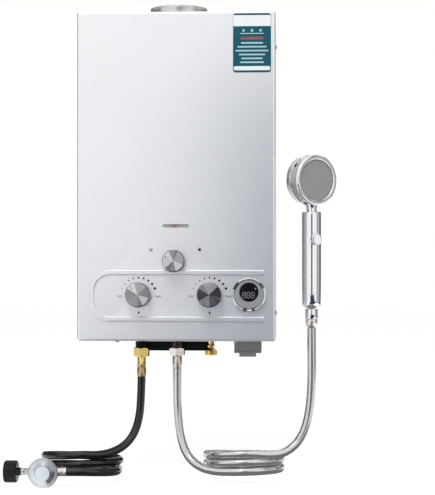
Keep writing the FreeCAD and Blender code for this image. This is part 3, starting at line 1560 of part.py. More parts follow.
def regulator():
    x = s.regulator_x
    y = -s.regulator_depth
    z = regulator_z
    deep = s.regulator_body_deep / 2
    outer = s.regulator_body_radius
    rim_radius = s.regulator_radius
    cup = turned("regulator_cup", [(0, -deep), (s.regulator_back_radius, -deep), (outer, -deep * 0.3),
                                   (outer, deep), (0, deep)], x, y, z, ALONG_FRONT)
    reach = s.regulator_boss_reach
    bosses = rod("regulator_bosses", s.regulator_boss, 2 * reach, x - reach, y, z, ALONG_X)
    node(fuse("regulator_body", cup, bosses), "regulator_body")
    rim = s.regulator_rim
    cap = s.regulator_cap
    node(turned("regulator_cover", [(0, 0), (rim_radius, 0), (rim_radius, rim),
                                    (rim_radius - rim / 2, rim * 1.5), (rim_radius - rim, rim * 1.2),
                                    (s.regulator_plate + rim, cap * 0.8),
                                    (s.regulator_plate + rim / 2, cap), (0, cap)],
                x, y - deep, z, ALONG_FRONT), "regulator_cover")
    nut = hexagon("fitting_nut", s.fitting_across, s.fitting_nut, x + reach, y, z, ALONG_X)
    radius = s.fitting_radius
    crimp = radius - s.ferrule_crimp
    long = s.fitting_length - s.fitting_nut
    ferrule = turned("fitting_ferrule", [(0, 0), (radius, 0), (radius, long * 0.25),
                                         (crimp, long * 0.35), (crimp, long * 0.65),
                                         (radius, long * 0.75), (radius, long), (0, long)],
                     x + reach + s.fitting_nut, y, z, ALONG_X)
    node(fuse("regulator_fitting", nut, ferrule), "regulator_fitting")


def tank_connection():
    """The regulator's inlet stem and the free-turning hand nut round its nipple."""
    x = s.regulator_x
    y = -s.regulator_depth
    z = regulator_z
    stem = s.stem_radius
    start = s.regulator_boss_reach
    collar = s.collar_place - start
    nut_start = s.hand_nut_place - start
    shoulder = nut_start + s.hand_nut_wall + s.seat_gap
    reach = s.stem_reach - start
    node(turned("regulator_stem", [(0, 0), (stem, 0), (stem, collar), (s.collar_radius, collar),
                                   (s.collar_radius, collar + s.collar_length),
                                   (stem, collar + s.collar_length), (stem, shoulder),
                                   (s.stem_shoulder, shoulder), (s.stem_shoulder, shoulder + 2),
                                   (stem, shoulder + 3), (stem, reach - 3), (stem / 2, reach),
                                   (0, reach)], x - start, y, z, ALONG_LEFT), "regulator_stem")
    outer = s.hand_nut_radius
    high = s.hand_nut_length
    bore = s.hand_nut_bore
    bevel = s.hand_nut_flute / 2
    body = turned("hand_nut_body", [(stem + s.spindle_fit, 0), (outer - bevel, 0), (outer, bevel),
                                    (outer, high - bevel), (outer - bevel, high), (bore, high),
                                    (bore, s.hand_nut_wall),
                                    (stem + s.spindle_fit, s.hand_nut_wall)],
                  x - s.hand_nut_place, y, z, ALONG_LEFT)
    flute = new_sketch(body, "XY_Plane", "hand_nut_flute")
    draw_circle(flute, outer + s.hand_nut_flute / 2, 0, s.hand_nut_flute)
    groove = pocket(body, flute, high, reverse=True)
    lobes = body.newObject("PartDesign::PolarPattern", "hand_nut_lobes")
    lobes.Originals = [groove]
    lobes.Axis = (flute, ["N_Axis"])
    lobes.Angle = 360
    bind(lobes, Occurrences=s.hand_nut_lobes)
    body.Tip = lobes
    node(body, "tank_hand_nut")


# Hand shower

def shower_handle():
    x = s.handle_x
    y = -s.handle_depth
    radius = s.handle_radius
    high = s.handle_high
    seam = s.seam_deep
    foot = s.handle_foot
    seams = []
    for level in (s.seam_low, s.seam_high):
        seams += [(radius, level - seam), (radius - seam, level), (radius, level + seam)]
    bore = s.swivel_radius + s.spindle_fit
    profile = [(0, -s.spigot_high), (s.spigot_radius, -s.spigot_high), (s.spigot_radius, 0),
               (foot, 0), (radius, s.handle_taper)] + seams + [
        (radius, high - s.handle_shoulder), (s.handle_neck, high), (bore, high),
        (bore, high - s.swivel_deep), (0, high - s.swivel_deep)]
    handle = turned("handle_turned", profile, x, y, handle_low_z)
    push = facing(s.button_yaw)
    ahead = push.multVec(FreeCAD.Vector(0, 0, 1))
    face = radius + s.button_proud - s.button_high
    button_z = bottom + s.button_rise
    deepest = face - s.button_travel - s.seat_gap
    recess = rod("button_recess", s.button_radius + s.seat_gap, radius, x + deepest * ahead.x,
                 y + deepest * ahead.y, button_z, push)
    node(cut("handle_body", handle, recess), "handle_body")
    dome = s.button_high * 0.75
    node(turned("stop_button", [(0, 0), (s.button_radius, 0), (s.button_radius, dome),
                                (s.button_radius * 0.85, s.button_high), (0, s.button_high)],
                x + face * ahead.x, y + face * ahead.y, button_z, push), "stop_button")
    nut_low = handle_low_z - s.seat_gap - s.shower_nut_high
    nut = s.shower_nut_radius
    hole = s.spigot_radius + s.thread_fit
    node(turned("handle_nut", [(hole, 0), (nut - 1, 0), (nut, 1), (nut, s.shower_nut_high - 1),
                               (nut - 1, s.shower_nut_high), (hole, s.shower_nut_high)],
                x, y, nut_low), "handle_nut")
    node(cone("shower_hose_cone", s.steel_hose_radius, nut - 0.5, s.cone_high, x, y, cone_low_z),
         "shower_hose_cone")


def shower_head():
    """Two round shells, a windowed groove between them, a spray plate and a water-driven fan."""
    x = s.handle_x
    y = -s.handle_depth
    z = bottom + s.head_rise
    turn = facing(s.head_yaw)
    radius = s.head_radius
    back = -s.head_back
    seam = back + s.head_shell_deep
    joint = seam + s.head_groove
    neck_wall = radius - s.head_groove_deep
    chamber = neck_wall - s.head_wall
    floor = back + s.head_floor
    axle = s.fan_axle
    hub = s.fan_hub
    fan_low = floor + s.fan_lift
    shell = turned("head_shell_turned", [(0, back), (radius, back), (radius, seam), (neck_wall, seam),
                                         (neck_wall, joint), (chamber, joint), (chamber, floor),
                                         (hub, floor), (hub, fan_low - s.seat_gap),
                                         (axle, fan_low - s.seat_gap), (axle, fan_low + s.fan_high),
                                         (0, fan_low + s.fan_high)], x, y, z, turn)
    rounded(shell, shell.Tip, s.head_back_round,
            lambda point: near(point.z, back) and near(math.hypot(point.x, point.y), radius))
    handle_top = handle_low_z + s.handle_high
    neck_top = z - radius + s.neck_sink
    neck = rod("head_neck", s.neck_radius, neck_top - handle_top - s.seat_gap, x, y,
               handle_top + s.seat_gap)
    room = rod("ring_room", radius + s.thread_fit, 2 * radius,
               x + (joint - s.thread_fit) * turn.multVec(FreeCAD.Vector(0, 0, 1)).x,
               y + (joint - s.thread_fit) * turn.multVec(FreeCAD.Vector(0, 0, 1)).y, z, turn)
    stub = rod("head_stub", s.swivel_radius, s.swivel_deep, x, y,
               handle_top - s.swivel_deep + s.seat_gap)
    windows = []
    for side in (-1, 1):
        window = new_body("head_window", x, y, z, turn * rolled(side * s.window_turn))
        opening = new_sketch(window, "XY_Plane", "window_opening", seam + s.window_margin)
        draw_box(opening, (-s.window_wide / 2, s.window_wide / 2),
                 (chamber - s.head_wall, neck_wall + s.head_wall))
        pad(window, opening, s.head_groove - 2 * s.window_margin)
        windows.append(window)
    open_shell = cut("head_shell_open", shell, *windows)
    node(fuse("head_shell", open_shell, cut("head_neck_cut", neck, room), stub), "head_shell")

    face = s.head_front
    spray = s.spray_radius + s.thread_fit
    ledge = face - s.spray_inset - s.spray_sheet
    taper = s.head_ring_taper
    ring = turned("head_ring", [(chamber, joint), (radius - taper, joint), (radius, joint + taper),
                                (radius, face - s.head_bevel),
                                (radius - s.head_bevel, face), (spray, face), (spray, ledge),
                                (spray - s.head_wall, ledge),
                                (spray - s.head_wall, ledge - s.head_wall),
                                (chamber, ledge - s.head_wall)], x, y, z, turn)
    node(ring, "head_ring")
    node(turned("spray_plate", [(0, ledge), (s.spray_radius, ledge),
                                (s.spray_radius, face - s.spray_inset), (0, face - s.spray_inset)],
                x, y, z, turn), "spray_plate")

    fan = turned("fan_body", [(axle + s.spindle_fit, fan_low), (hub, fan_low),
                              (hub, fan_low + s.fan_high), (axle + s.spindle_fit,
                                                            fan_low + s.fan_high)], x, y, z, turn)
    blade = new_sketch(fan, "XY_Plane", "fan_blade", fan_low)
    draw_box(blade, (hub - 1, s.fan_radius), (-s.fan_blade / 2, s.fan_blade / 2))
    vane = pad(fan, blade, s.fan_high)
    ring_of_blades = fan.newObject("PartDesign::PolarPattern", "fan_blades")
    ring_of_blades.Originals = [vane]
    ring_of_blades.Axis = (blade, ["N_Axis"])
    ring_of_blades.Angle = 360
    bind(ring_of_blades, Occurrences=s.fan_blades)
    fan.Tip = ring_of_blades
    node(fan, "turbine_fan")


def build():
    back_plate()
    front_cover()
    bottom_panel()
    cover_screws()
    flue_collar()
    sight_window()
    exhaust_hood()
    heat_exchanger_shell()
    heat_exchanger_fins()
    heat_exchanger_tube()
    burner_rack()
    burner_frame()
    electrodes()
    gas_valve()
    solenoid_valve()
    water_valve()
    diaphragm_housing()
    micro_switch()
    gas_manifold()
    igniter_module()
    connections()
    water_pipes()
    pipe_bracket()
    battery_case()
    battery_lid()
    batteries()
    battery_contacts()
    gauge()
    controls()
    hose_tails()
    hoses()
    regulator()
    tank_connection()
    shower_handle()
    shower_head()


def export():
    """Checks every object and every sub-part, then writes one STEP file for each."""
    doc.recompute()
    for obj in doc.Objects:
        if "Invalid" in obj.State or "Error" in obj.State:
            raise RuntimeError(f"{obj.Name} failed: {obj.State}")
    os.makedirs("parts", exist_ok=True)
    for obj in nodes:
        if obj.Shape.isNull() or not obj.Shape.isValid():
            raise RuntimeError(f"{obj.Label} has no valid shape")
    for obj in nodes:
        obj.Shape.exportStep(f"parts/{obj.Label}.step")
    print(len(nodes), "sub-parts written")


build()
export()
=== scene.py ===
# %% [markdown]
# # A wall-hung gas water heater with two hoses and a hand shower
#
# The metal parts of this heater come from an engineering model. This lesson dresses it: it
# keeps the shapes that are right, rebuilds the ones that need rounder forms, and gives every
# piece a finish made of shader nodes. All lengths are in metres, the wall is the plane Y = 0,
# the front faces -Y and the origin is the hole that the heater hangs from.

# %% Load the engineering model
import json
import math

import bmesh
import bpy
from mathutils import Matrix, Vector


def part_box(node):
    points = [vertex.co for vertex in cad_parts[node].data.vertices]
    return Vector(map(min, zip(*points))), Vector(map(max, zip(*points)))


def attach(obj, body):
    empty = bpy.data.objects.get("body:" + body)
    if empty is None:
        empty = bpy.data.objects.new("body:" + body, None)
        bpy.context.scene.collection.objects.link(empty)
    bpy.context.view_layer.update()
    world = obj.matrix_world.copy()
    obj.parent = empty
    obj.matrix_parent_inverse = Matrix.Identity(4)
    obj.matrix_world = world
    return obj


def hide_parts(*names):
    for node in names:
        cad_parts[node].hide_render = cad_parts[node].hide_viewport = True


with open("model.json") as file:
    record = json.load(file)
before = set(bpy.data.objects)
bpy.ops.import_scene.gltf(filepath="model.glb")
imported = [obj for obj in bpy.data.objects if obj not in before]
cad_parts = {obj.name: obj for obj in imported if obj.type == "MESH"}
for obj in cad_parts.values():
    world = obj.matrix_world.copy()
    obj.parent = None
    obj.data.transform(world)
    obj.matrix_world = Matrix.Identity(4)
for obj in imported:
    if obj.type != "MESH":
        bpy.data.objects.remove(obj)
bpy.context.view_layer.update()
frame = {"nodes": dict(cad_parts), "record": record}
record = frame["record"]
slot_of = {entry["node"]: entry["material_slot"] for entry in record["subparts"]}

# %% [markdown]
# Most sizes on a drawing are in millimetres, while Blender works in metres. A tiny function
# keeps the numbers below readable, and the heater's main levels get names here. A turned part
# is drawn upright and then laid over, so the turns for each direction get names too.

# %% Sizes, levels and directions
MM = 0.001


def mm(*values):
    return Vector([value * MM for value in values])


COVER_BOTTOM = -499.0
COVER_TOP = 30.0
COVER_FRONT = -140.0
CONTROL_LEVEL = COVER_BOTTOM + 75.0
SEASON_LEVEL = COVER_BOTTOM + 129.0
INSIDE_DEPTH = -70.0
FLOOR_LEVEL = -729.0
GAS_AXIS, HOT_AXIS, COLD_AXIS = [(x, INSIDE_DEPTH, 0) for x in (-62.0, -3.0, 53.0)]
GAS_KNOB_X, WATER_KNOB_X, SEASON_KNOB_X, GAUGE_X = -60.0, 54.0, -3.0, 117.0
HANDLE_X, HANDLE_Y = 218.0, -90.0
UP = Vector((0, 0, 1))
TO_FRONT = Matrix.Rotation(math.radians(90), 3, "X")
TO_RIGHT = Matrix.Rotation(math.radians(90), 3, "Y")
TO_LEFT = Matrix.Rotation(math.radians(-90), 3, "Y")
TO_FLOOR = Matrix.Rotation(math.radians(180), 3, "Y")


def about_z(angle):
    return Matrix.Rotation(math.radians(angle), 3, "Z")


def swung_front(yaw):
    return about_z(yaw) @ TO_FRONT


print("case in mm:", COVER_TOP - COVER_BOTTOM, "high,", -COVER_FRONT, "deep")

# %% [markdown]
# ## Camera
#
# A long lens far away keeps the tall case upright, as in a catalogue picture. The camera looks
# level, a little from the right, so the two sides of the case stay parallel to the frame.

# %% Camera
VIEW_ANGLE, CAMERA_YAW = 20.4, 2.5
CAMERA_PLACE = (0.1627, -2.3389, -0.3486)

camera_data = bpy.data.cameras.new("catalogue_camera")
camera_data.sensor_fit = "VERTICAL"
camera_data.angle = math.radians(VIEW_ANGLE)
camera_data.clip_end = 50
camera = bpy.data.objects.new("catalogue_camera", camera_data)
camera.location = CAMERA_PLACE
camera.rotation_euler = (math.radians(90), 0, math.radians(CAMERA_YAW))
bpy.context.scene.collection.objects.link(camera)
bpy.context.scene.camera = camera
bpy.context.scene.view_settings.view_transform = "Standard"
print("camera lens:", round(camera_data.lens, 1), "mm")

# %% [markdown]
# ## Shader helpers
#
# A finish is a small tree of nodes. Adding a node, setting it and linking it takes three lines
# each time, so one helper does it: a value that is a socket is linked, and any other is set.
# Every finish goes into one list under its name, from which the pieces take it.

# %% Helpers for shader nodes
finishes = {}


def add_node(tree, kind, settings=None, **inputs):
    node = tree.nodes.new("ShaderNode" + kind)
    for name, value in (settings or {}).items():
        setattr(node, name, value)
    for name, value in inputs.items():
        put(node, name.replace("_", " "), value)
    return node


def put(node, name, value):
    """Links a socket to a node's input, or sets the input to a plain value."""
    socket = node.inputs[int(name)] if name.isdigit() else node.inputs[name]
    if isinstance(value, bpy.types.NodeSocket):
        node.id_data.links.new(value, socket)
    else:
        socket.default_value = value


def new_finish(name, **inputs):
    """A new material in the list of finishes: gives back its node tree and its shader."""
    finishes[name] = bpy.data.materials.new(name)
    finishes[name].use_nodes = True
    tree = finishes[name].node_tree
    shader = tree.nodes["Principled BSDF"]
    for key, value in inputs.items():
        put(shader, key.replace("_", " "), value)
    return tree, shader


def colour(red, green, blue):
    return (red, green, blue, 1.0)


def maths(tree, operation, first, second=0.0):
    node = add_node(tree, "Math", {"operation": operation})
    put(node, "0", first)
    put(node, "1", second)
    return node.outputs[0]


def object_place(tree, centre=(0, 0, 0), turn=(0, 0, 0)):
    """The point on the piece in metres, moved and turned for a pattern."""
    source = add_node(tree, "TexCoord")
    moved = add_node(tree, "VectorMath", {"operation": "SUBTRACT"})
    put(moved, "0", source.outputs["Object"])
    put(moved, "1", centre)
    return add_node(tree, "Mapping", Vector=moved.outputs[0], Rotation=turn).outputs[0]


def noise(tree, place, scale, detail=3.0, rough=0.55):
    node = add_node(tree, "TexNoise", Vector=place, Scale=scale, Detail=detail, Roughness=rough)
    return node.outputs["Fac"]


def ramp(tree, value, *stops):
    """Colours along a value: each stop is (place, colour)."""
    node = add_node(tree, "ValToRGB", Fac=value)
    band = node.color_ramp
    while len(band.elements) < len(stops):
        band.elements.new(0.5)
    for element, (place, tint) in zip(band.elements, stops):
        element.position = place
        element.color = tint
    return node.outputs["Color"]


def shades(tree, value, base, vary):
    """A colour that runs from a darker to a lighter shade along a value."""
    dark, light = [colour(*[min(1, channel * share) for channel in base])
                   for share in (1 - vary, 1 + vary)]
    return ramp(tree, value, (0.3, dark), (0.7, light))


def between(tree, value, low, high):
    """Stretches a value from 0..1 to low..high."""
    return add_node(tree, "MapRange", Value=value, To_Min=low, To_Max=high).outputs["Result"]


def blend_colours(tree, share, first, second, kind="MIX"):
    node = add_node(tree, "Mix", {"data_type": "RGBA", "blend_type": kind})
    put(node, "0", share)
    put(node, "6", first)
    put(node, "7", second)
    return node.outputs[2]


def bump(tree, shader, height, depth, strength=1.0):
    """Lets a value stand out of the surface by a depth in mm."""
    node = add_node(tree, "Bump", Height=height, Strength=strength, Distance=depth * MM)
    put(shader, "Normal", node.outputs["Normal"])


# %% [markdown]
# ## Plain finishes
#
# Plastic, paint, cast metal and rubber differ in colour, gloss and grain, but they are built
# alike: a slow noise shifts the colour a little, a finer one shifts the roughness, and the
# finest gives the grain. Real surfaces are never one flat colour, and this costs three nodes.

# %% A finish with grain
DRIFT_SCALE, GLOSS_SCALE = 40, 160


def uneven_gloss(tree, shader, value, rough, vary=0.15):
    """Lets the roughness rise and fall with a value."""
    put(shader, "Roughness", between(tree, value, rough * (1 - vary), rough * (1 + vary)))


def grainy(name, base, rough, metal=0.0, grain=900, depth=0.02, vary=0.06, **more):
    """A finish with slow colour drift, uneven gloss and a fine grain."""
    tree, shader = new_finish(name, Metallic=metal, **more)
    place = object_place(tree)
    put(shader, "Base Color", shades(tree, noise(tree, place, DRIFT_SCALE, 4), base, vary))
    uneven_gloss(tree, shader, noise(tree, place, GLOSS_SCALE, 3), rough)
    bump(tree, shader, noise(tree, place, grain, 2), depth)


grainy("screw_steel", (0.50, 0.51, 0.52), 0.32, metal=1.0)
grainy("copper", (0.66, 0.36, 0.24), 0.30, metal=1.0, grain=300, vary=0.16)
grainy("burner_steel", (0.50, 0.49, 0.47), 0.40, metal=1.0, grain=400, vary=0.15)
grainy("ceramic", (0.86, 0.84, 0.80), 0.18, grain=200, depth=0.01, Coat_Weight=0.5)
grainy("cast_alloy", (0.55, 0.56, 0.57), 0.55, metal=0.9, grain=700, depth=0.08)
grainy("dark_brass", (0.20, 0.11, 0.06), 0.36, metal=1.0, grain=500, vary=0.30)
grainy("bracket_black", (0.006, 0.006, 0.007), 0.40, grain=1400, depth=0.03, IOR=1.25)
grainy("grey_plastic", (0.23, 0.235, 0.235), 0.42, grain=1600, vary=0.03)
grainy("black_plastic", (0.007, 0.007, 0.008), 0.30, grain=1200, depth=0.05, vary=0.15, IOR=1.3)
grainy("battery_wrap", (0.10, 0.17, 0.26), 0.30, grain=300, depth=0.01)
grainy("contact_steel", (0.62, 0.62, 0.60), 0.25, metal=1.0)
grainy("spindle_steel", (0.48, 0.48, 0.48), 0.30, metal=1.0)
grainy("fan_plastic", (0.05, 0.055, 0.065), 0.25, grain=600, depth=0.01)
grainy("bezel_chrome", (0.80, 0.81, 0.82), 0.07, metal=1.0, grain=200, depth=0.002, vary=0.02)
grainy("handset_chrome", (0.86, 0.87, 0.88), 0.05, metal=1.0, grain=60, depth=0.002, vary=0.01)
grainy("hose_rubber", (0.005, 0.005, 0.006), 0.16, grain=500, depth=0.010, vary=0.2, IOR=1.57)
grainy("display_black", (0.006, 0.006, 0.008), 0.22, grain=200, depth=0.001, IOR=1.22)
grainy("print_black", (0.008, 0.008, 0.010), 0.6, grain=1500, depth=0.005, vary=0.1, IOR=1.2)
grainy("cast_brass", (0.62, 0.44, 0.16), 0.38, metal=1.0, grain=350, depth=0.05, vary=0.10)
grainy("chamber_grey", (0.36, 0.36, 0.355), 0.35, depth=0.01, vary=0.04)
grainy("print_grey", (0.10, 0.10, 0.12), 0.6, grain=1500, depth=0.005, vary=0.1, IOR=1.2)
print("plain finishes:", len(finishes))

# %% [markdown]
# ## Sheet metal
#
# The cover is steel sheet with a metallic enamel: tiny flakes in the paint catch the light one
# by one, under a thin clear coat. A fine Voronoi cell pattern gives each flake its own tilt
# through the bump, while the colour hardly moves. Zinc-coated sheet shows the same idea at a
# larger scale: its crystals, the spangle, are cells a few millimetres wide.

# %% Enamel and zinc sheet
FLAKES, CRYSTALS = 2200, 130


def cells(tree, place, scale):
    """A random value for each cell of a pattern."""
    node = add_node(tree, "TexVoronoi", Vector=place, Scale=scale)
    return add_node(tree, "SeparateColor", Color=node.outputs["Color"]).outputs[0]


tree, shader = new_finish("cover_paint", Metallic=0.70, Coat_Weight=0.12, Coat_Roughness=0.3)
place = object_place(tree)
flake = cells(tree, place, FLAKES)
tint = ramp(tree, noise(tree, place, 5, 3),
            (0.3, colour(0.82, 0.835, 0.855)), (0.7, colour(0.84, 0.855, 0.875)))
glitter = between(tree, flake, 0.0, 0.10)
put(shader, "Base Color", blend_colours(tree, glitter, tint, colour(1, 1, 1)))
put(shader, "Roughness", between(tree, noise(tree, place, 30, 3), 0.23, 0.27))
bump(tree, shader, flake, 0.010, 0.6)

tree, shader = new_finish("galvanised_sheet", Metallic=1.0)
place = object_place(tree)
crystal = cells(tree, place, CRYSTALS)
put(shader, "Base Color", ramp(tree, crystal, (0.1, colour(0.50, 0.52, 0.54)),
                               (0.9, colour(0.66, 0.67, 0.68))))
put(shader, "Roughness", between(tree, crystal, 0.30, 0.48))
bump(tree, shader, noise(tree, place, 700, 2), 0.02)
print("sheet finishes: cover_paint, galvanised_sheet")

# %% [markdown]
# ## Turned and brushed metal
#
# A lathe or a brush leaves fine lines round a part, so its highlights stretch across them. The
# pieces below carry a UV map called turning, in which U runs round the axis. Its tangent gives
# the shader the direction of the lines, and noise stretched along U draws the lines themselves.

# %% Turned metals
LINE_DEPTH = 0.006


def brushed(name, stretch, around, across):
    """A metal with fine lines round its axis: gives back tree, shader, lines and map."""
    tree, shader = new_finish(name, Metallic=1.0, Anisotropic=stretch, Anisotropic_Rotation=0.25)
    tangent = add_node(tree, "Tangent", {"direction_type": "UV_MAP", "uv_map": "turning"})
    put(shader, "Tangent", tangent.outputs[0])
    place = add_node(tree, "UVMap", {"uv_map": "turning"}).outputs[0]
    drawn_out = add_node(tree, "Mapping", Vector=place, Scale=(around, across, 1)).outputs[0]
    lines = noise(tree, drawn_out, 1.0, 4, 0.65)
    bump(tree, shader, lines, LINE_DEPTH)
    return tree, shader, lines, place


def turned_metal(name, base, rough, vary=0.10, stretch=0.5, across=900.0):
    tree, shader, lines, _ = brushed(name, stretch, 4.0, across)
    put(shader, "Base Color", shades(tree, lines, base, vary))
    uneven_gloss(tree, shader, lines, rough)


turned_metal("brass", (0.95, 0.71, 0.23), 0.18, vary=0.06)
turned_metal("dull_brass", (0.52, 0.40, 0.19), 0.30)
turned_metal("nickel", (0.66, 0.61, 0.54), 0.22, vary=0.07)
turned_metal("bright_nickel", (0.88, 0.83, 0.77), 0.18, vary=0.05)
turned_metal("flue_steel", (0.70, 0.70, 0.70), 0.30, vary=0.04, stretch=0.6, across=600.0)
turned_metal("zinc", (0.50, 0.535, 0.555), 0.27, vary=0.12, stretch=0.6, across=300.0)
turned_metal("zinc_plate", (0.78, 0.84, 0.88), 0.42, vary=0.04, stretch=0.0)
turned_metal("display_silver", (0.60, 0.61, 0.62), 0.36, vary=0.03, stretch=0.3)
turned_metal("hose_steel", (0.72, 0.72, 0.71), 0.15, vary=0.06, stretch=0.2)
print("turned metals done,", len(finishes), "finishes so far")

# %% [markdown]
# The faces of the knobs are spun bright: the light falls apart into sectors that meet in the
# middle, like the spokes of a wheel. Here the sectors are painted reflection in the base colour
# over the brushed metal, and they turn with the knob, so each face gets its own list of sectors,
# as clock angles with a brightness. The regulator's face has softer painted sectors, and the
# polished ring of the display a few sharp painted glints.

# %% Spun faces with painted reflection sectors: knobs, regulator and display ring


def face_with_painted_sheen(name, sectors, soft=4.5, tint=(1, 1, 1.01), rough=0.25):
    """A brushed face with painted reflection sectors, which start at the given clock angles."""
    tree, shader, lines, place = brushed(name, 0.45, 2.0, 1500.0)
    around = add_node(tree, "SeparateXYZ", Vector=place).outputs[0]
    clock = maths(tree, "FRACT", maths(tree, "SUBTRACT", 0.25, around))
    first_angle, first = sectors[0]
    last = sectors[-1][1]
    shifted = maths(tree, "FRACT", maths(tree, "SUBTRACT", clock, first_angle / 360))
    stops = [(0.0, (first + last) / 2), (soft / 360, first)]
    for (_, before), (start, level) in zip(sectors, sectors[1:]):
        turn_to = (start - first_angle) % 360
        stops += [((turn_to - soft) / 360, before), ((turn_to + soft) / 360, level)]
    stops += [((360 - soft) / 360, last), (1.0, (first + last) / 2)]
    # The sectors paint the reflection of the light into the base colour, as bright and dark bands.
    painted_sectors = ramp(tree, shifted, *[(where, colour(*[level * channel for channel in tint]))
                                   for where, level in stops])
    worn = ramp(tree, lines, (0.25, colour(0.86, 0.86, 0.86)), (0.75, colour(1, 1, 1)))
    put(shader, "Base Color", blend_colours(tree, 1.0, painted_sectors, worn, "MULTIPLY"))
    uneven_gloss(tree, shader, lines, rough, 0.2)


# Painted reflection: each knob face gets its own bright and dark sectors in its colour.
face_with_painted_sheen("gas_knob_face", [(302, 0.98), (345, 0.54), (45, 0.34), (105, 0.80), (152, 0.30),
                            (178, 0.46), (240, 0.40)])
face_with_painted_sheen("water_knob_face", [(302, 0.42), (332, 0.64), (45, 0.09), (106, 0.28), (114, 0.11),
                              (130, 0.20), (176, 0.48), (238, 0.11)])
face_with_painted_sheen("season_knob_face", [(229, 0.80), (300, 0.90), (335, 0.42), (12, 0.24), (25, 0.56),
                               (110, 0.88), (166, 0.32), (182, 0.46), (192, 0.28)])
# Soft painted light and shade on the regulator's zinc cone, lighter and darker by sector.
face_with_painted_sheen("regulator_zinc_painted_sheen", [(25, 0.42), (110, 0.66), (170, 0.80), (250, 0.76),
                                  (320, 0.62)], soft=16, tint=(0.93, 1.0, 1.04), rough=0.30)
# Painted reflection on the chrome display ring: a few sharp dark glints in its colour.
face_with_painted_sheen("bezel_painted_glints", [(288, 0.10), (320, 0.92), (42, 0.16), (66, 0.90), (158, 0.06),
                           (169, 0.95), (189, 0.06), (201, 0.90)], soft=3, rough=0.14)
turned_metal("knob_metal", (0.62, 0.63, 0.64), 0.20, vary=0.08)
# Painted dark reflection for the polished front edge of the knobs.
turned_metal("knob_rim", (0.20, 0.205, 0.21), 0.16)
print("with the spun faces:", len(finishes), "finishes")

# %% [markdown]
# ## Glass and spray face
#
# Two more finishes need a pattern of their own: the sight glass, browned by the flame, and the
# spray face with its grid of fine holes, each painted darker as painted shade. The grid is a
# Voronoi pattern without randomness, and its coordinates are turned with the shower head, so the
# rows stand upright on it.

# %% Glass and spray face
HALF_SLOT = 21.0
HEAD_YAW, HEAD_LEVEL = 37.0, -239.0
HOLES_PER_METRE, HOLE_SHARE, HOLE_DEPTH = 520, 0.30, 0.15

tree, shader = new_finish("window_glass", IOR=1.47)
place = object_place(tree, centre=mm(-3, COVER_FRONT, COVER_BOTTOM + 185))
spread = add_node(tree, "SeparateXYZ", Vector=place).outputs[0]
along = maths(tree, "ABSOLUTE", maths(tree, "DIVIDE", spread, HALF_SLOT * MM))
smoke = maths(tree, "ADD", along, maths(tree, "MULTIPLY", noise(tree, place, 160, 3), 0.5))
put(shader, "Base Color", ramp(tree, smoke, (0.2, colour(0.20, 0.13, 0.09)),
                               (0.8, colour(0.30, 0.31, 0.31))))
put(shader, "Roughness", between(tree, noise(tree, place, 300, 3), 0.10, 0.22))

tree, shader = new_finish("spray_grey")
place = object_place(tree, centre=mm(HANDLE_X, HANDLE_Y, HEAD_LEVEL),
                     turn=(0, 0, math.radians(-HEAD_YAW)))
flat = add_node(tree, "VectorMath", {"operation": "MULTIPLY"})
put(flat, "0", place)
put(flat, "1", (1, 0, 1))
grid = add_node(tree, "TexVoronoi", Vector=flat.outputs[0], Scale=HOLES_PER_METRE, Randomness=0.0)
hole = maths(tree, "LESS_THAN", grid.outputs["Distance"], HOLE_SHARE)
face = ramp(tree, noise(tree, place, 60, 3),
            (0.3, colour(0.33, 0.328, 0.322)), (0.7, colour(0.37, 0.368, 0.362)))
# Painted shade: the holes take a darker grey than the face around them.
put(shader, "Base Color", blend_colours(tree, hole, face, colour(0.20, 0.20, 0.20)))
put(shader, "Roughness", between(tree, noise(tree, place, 200, 3), 0.38, 0.50))
bump(tree, shader, hole, -HOLE_DEPTH)
print("patterned finishes: window_glass, spray_grey")

# %% [markdown]
# ## Dress the engineering model
#
# Nodes whose shape is right keep their mesh and just get their finish, by the material slot
# that the record names for them. The cast valves have no lathe lines, so theirs is a cast brass.
# Those made again below are hidden later, one by one.

# %% Dress every node
CAST_NODES = ("solenoid_valve", "water_valve", "diaphragm_housing")
for node_name, node_object in frame["nodes"].items():
    node_object.data.materials.clear()
    slot = "cast_brass" if node_name in CAST_NODES else slot_of[node_name]
    node_object.data.materials.append(finishes[slot])
print("dressed:", len(frame["nodes"]), "nodes")

# %% [markdown]
# ## Hoses
#
# A hose is a fixed length of something that bends under its own weight. Its line is one smooth
# NURBS spline: a few listed points where it drops from its fitting, a loop of points for
# each turn of its coil, and a few more to its far end. Order 3 must be set after the points.

# %% Helpers for routes


def coil_turns(centre, radius, tilt, start, turn, low, high, steps):
    """Points round a coil that leans forward: the angle runs from start by turn degrees."""
    share = math.cos(math.radians(turn / steps / 2))
    lean = Matrix.Rotation(-math.radians(tilt), 3, "X")
    points = []
    for step in range(1, steps):
        part = step / steps
        angle = math.radians(start + turn * part)
        spot = Vector((math.cos(angle), math.sin(angle), 0)) * radius / share
        spot.z = low + (high - low) * part
        points.append(mm(*centre) + lean @ spot * MM)
    return points


def new_route(name, points):
    curve = bpy.data.curves.new(name, "CURVE")
    curve.dimensions = "3D"
    spline = curve.splines.new("NURBS")
    spline.points.add(len(points) - 1)
    for point, spot in zip(spline.points, points):
        point.co = (*spot, 1.0)
    spline.order_u = 3
    spline.use_endpoint_u = True
    spline.resolution_u = 8
    route = bpy.data.objects.new(name, curve)
    bpy.context.scene.collection.objects.link(route)
    return route


def route_points(route):
    mesh = bpy.data.meshes.new_from_object(route)
    points = [vertex.co.copy() for vertex in mesh.vertices]
    bpy.data.meshes.remove(mesh)
    return points


def route_length(points):
    return sum((b - a).length for a, b in zip(points, points[1:]))


def below_case(*spots):
    """Points of a line, each as x, y and how far it is below the case, in mm."""
    return [mm(x, y, COVER_BOTTOM - down) for x, y, down in spots]


# %% [markdown]
# The black gas hose drops from its brass fitting, bends to the left, lies in a coil of almost
# two turns and runs out in a wide bow to the regulator, which stands on its rim on the floor.
# Both coils lean forward by the same small angle.

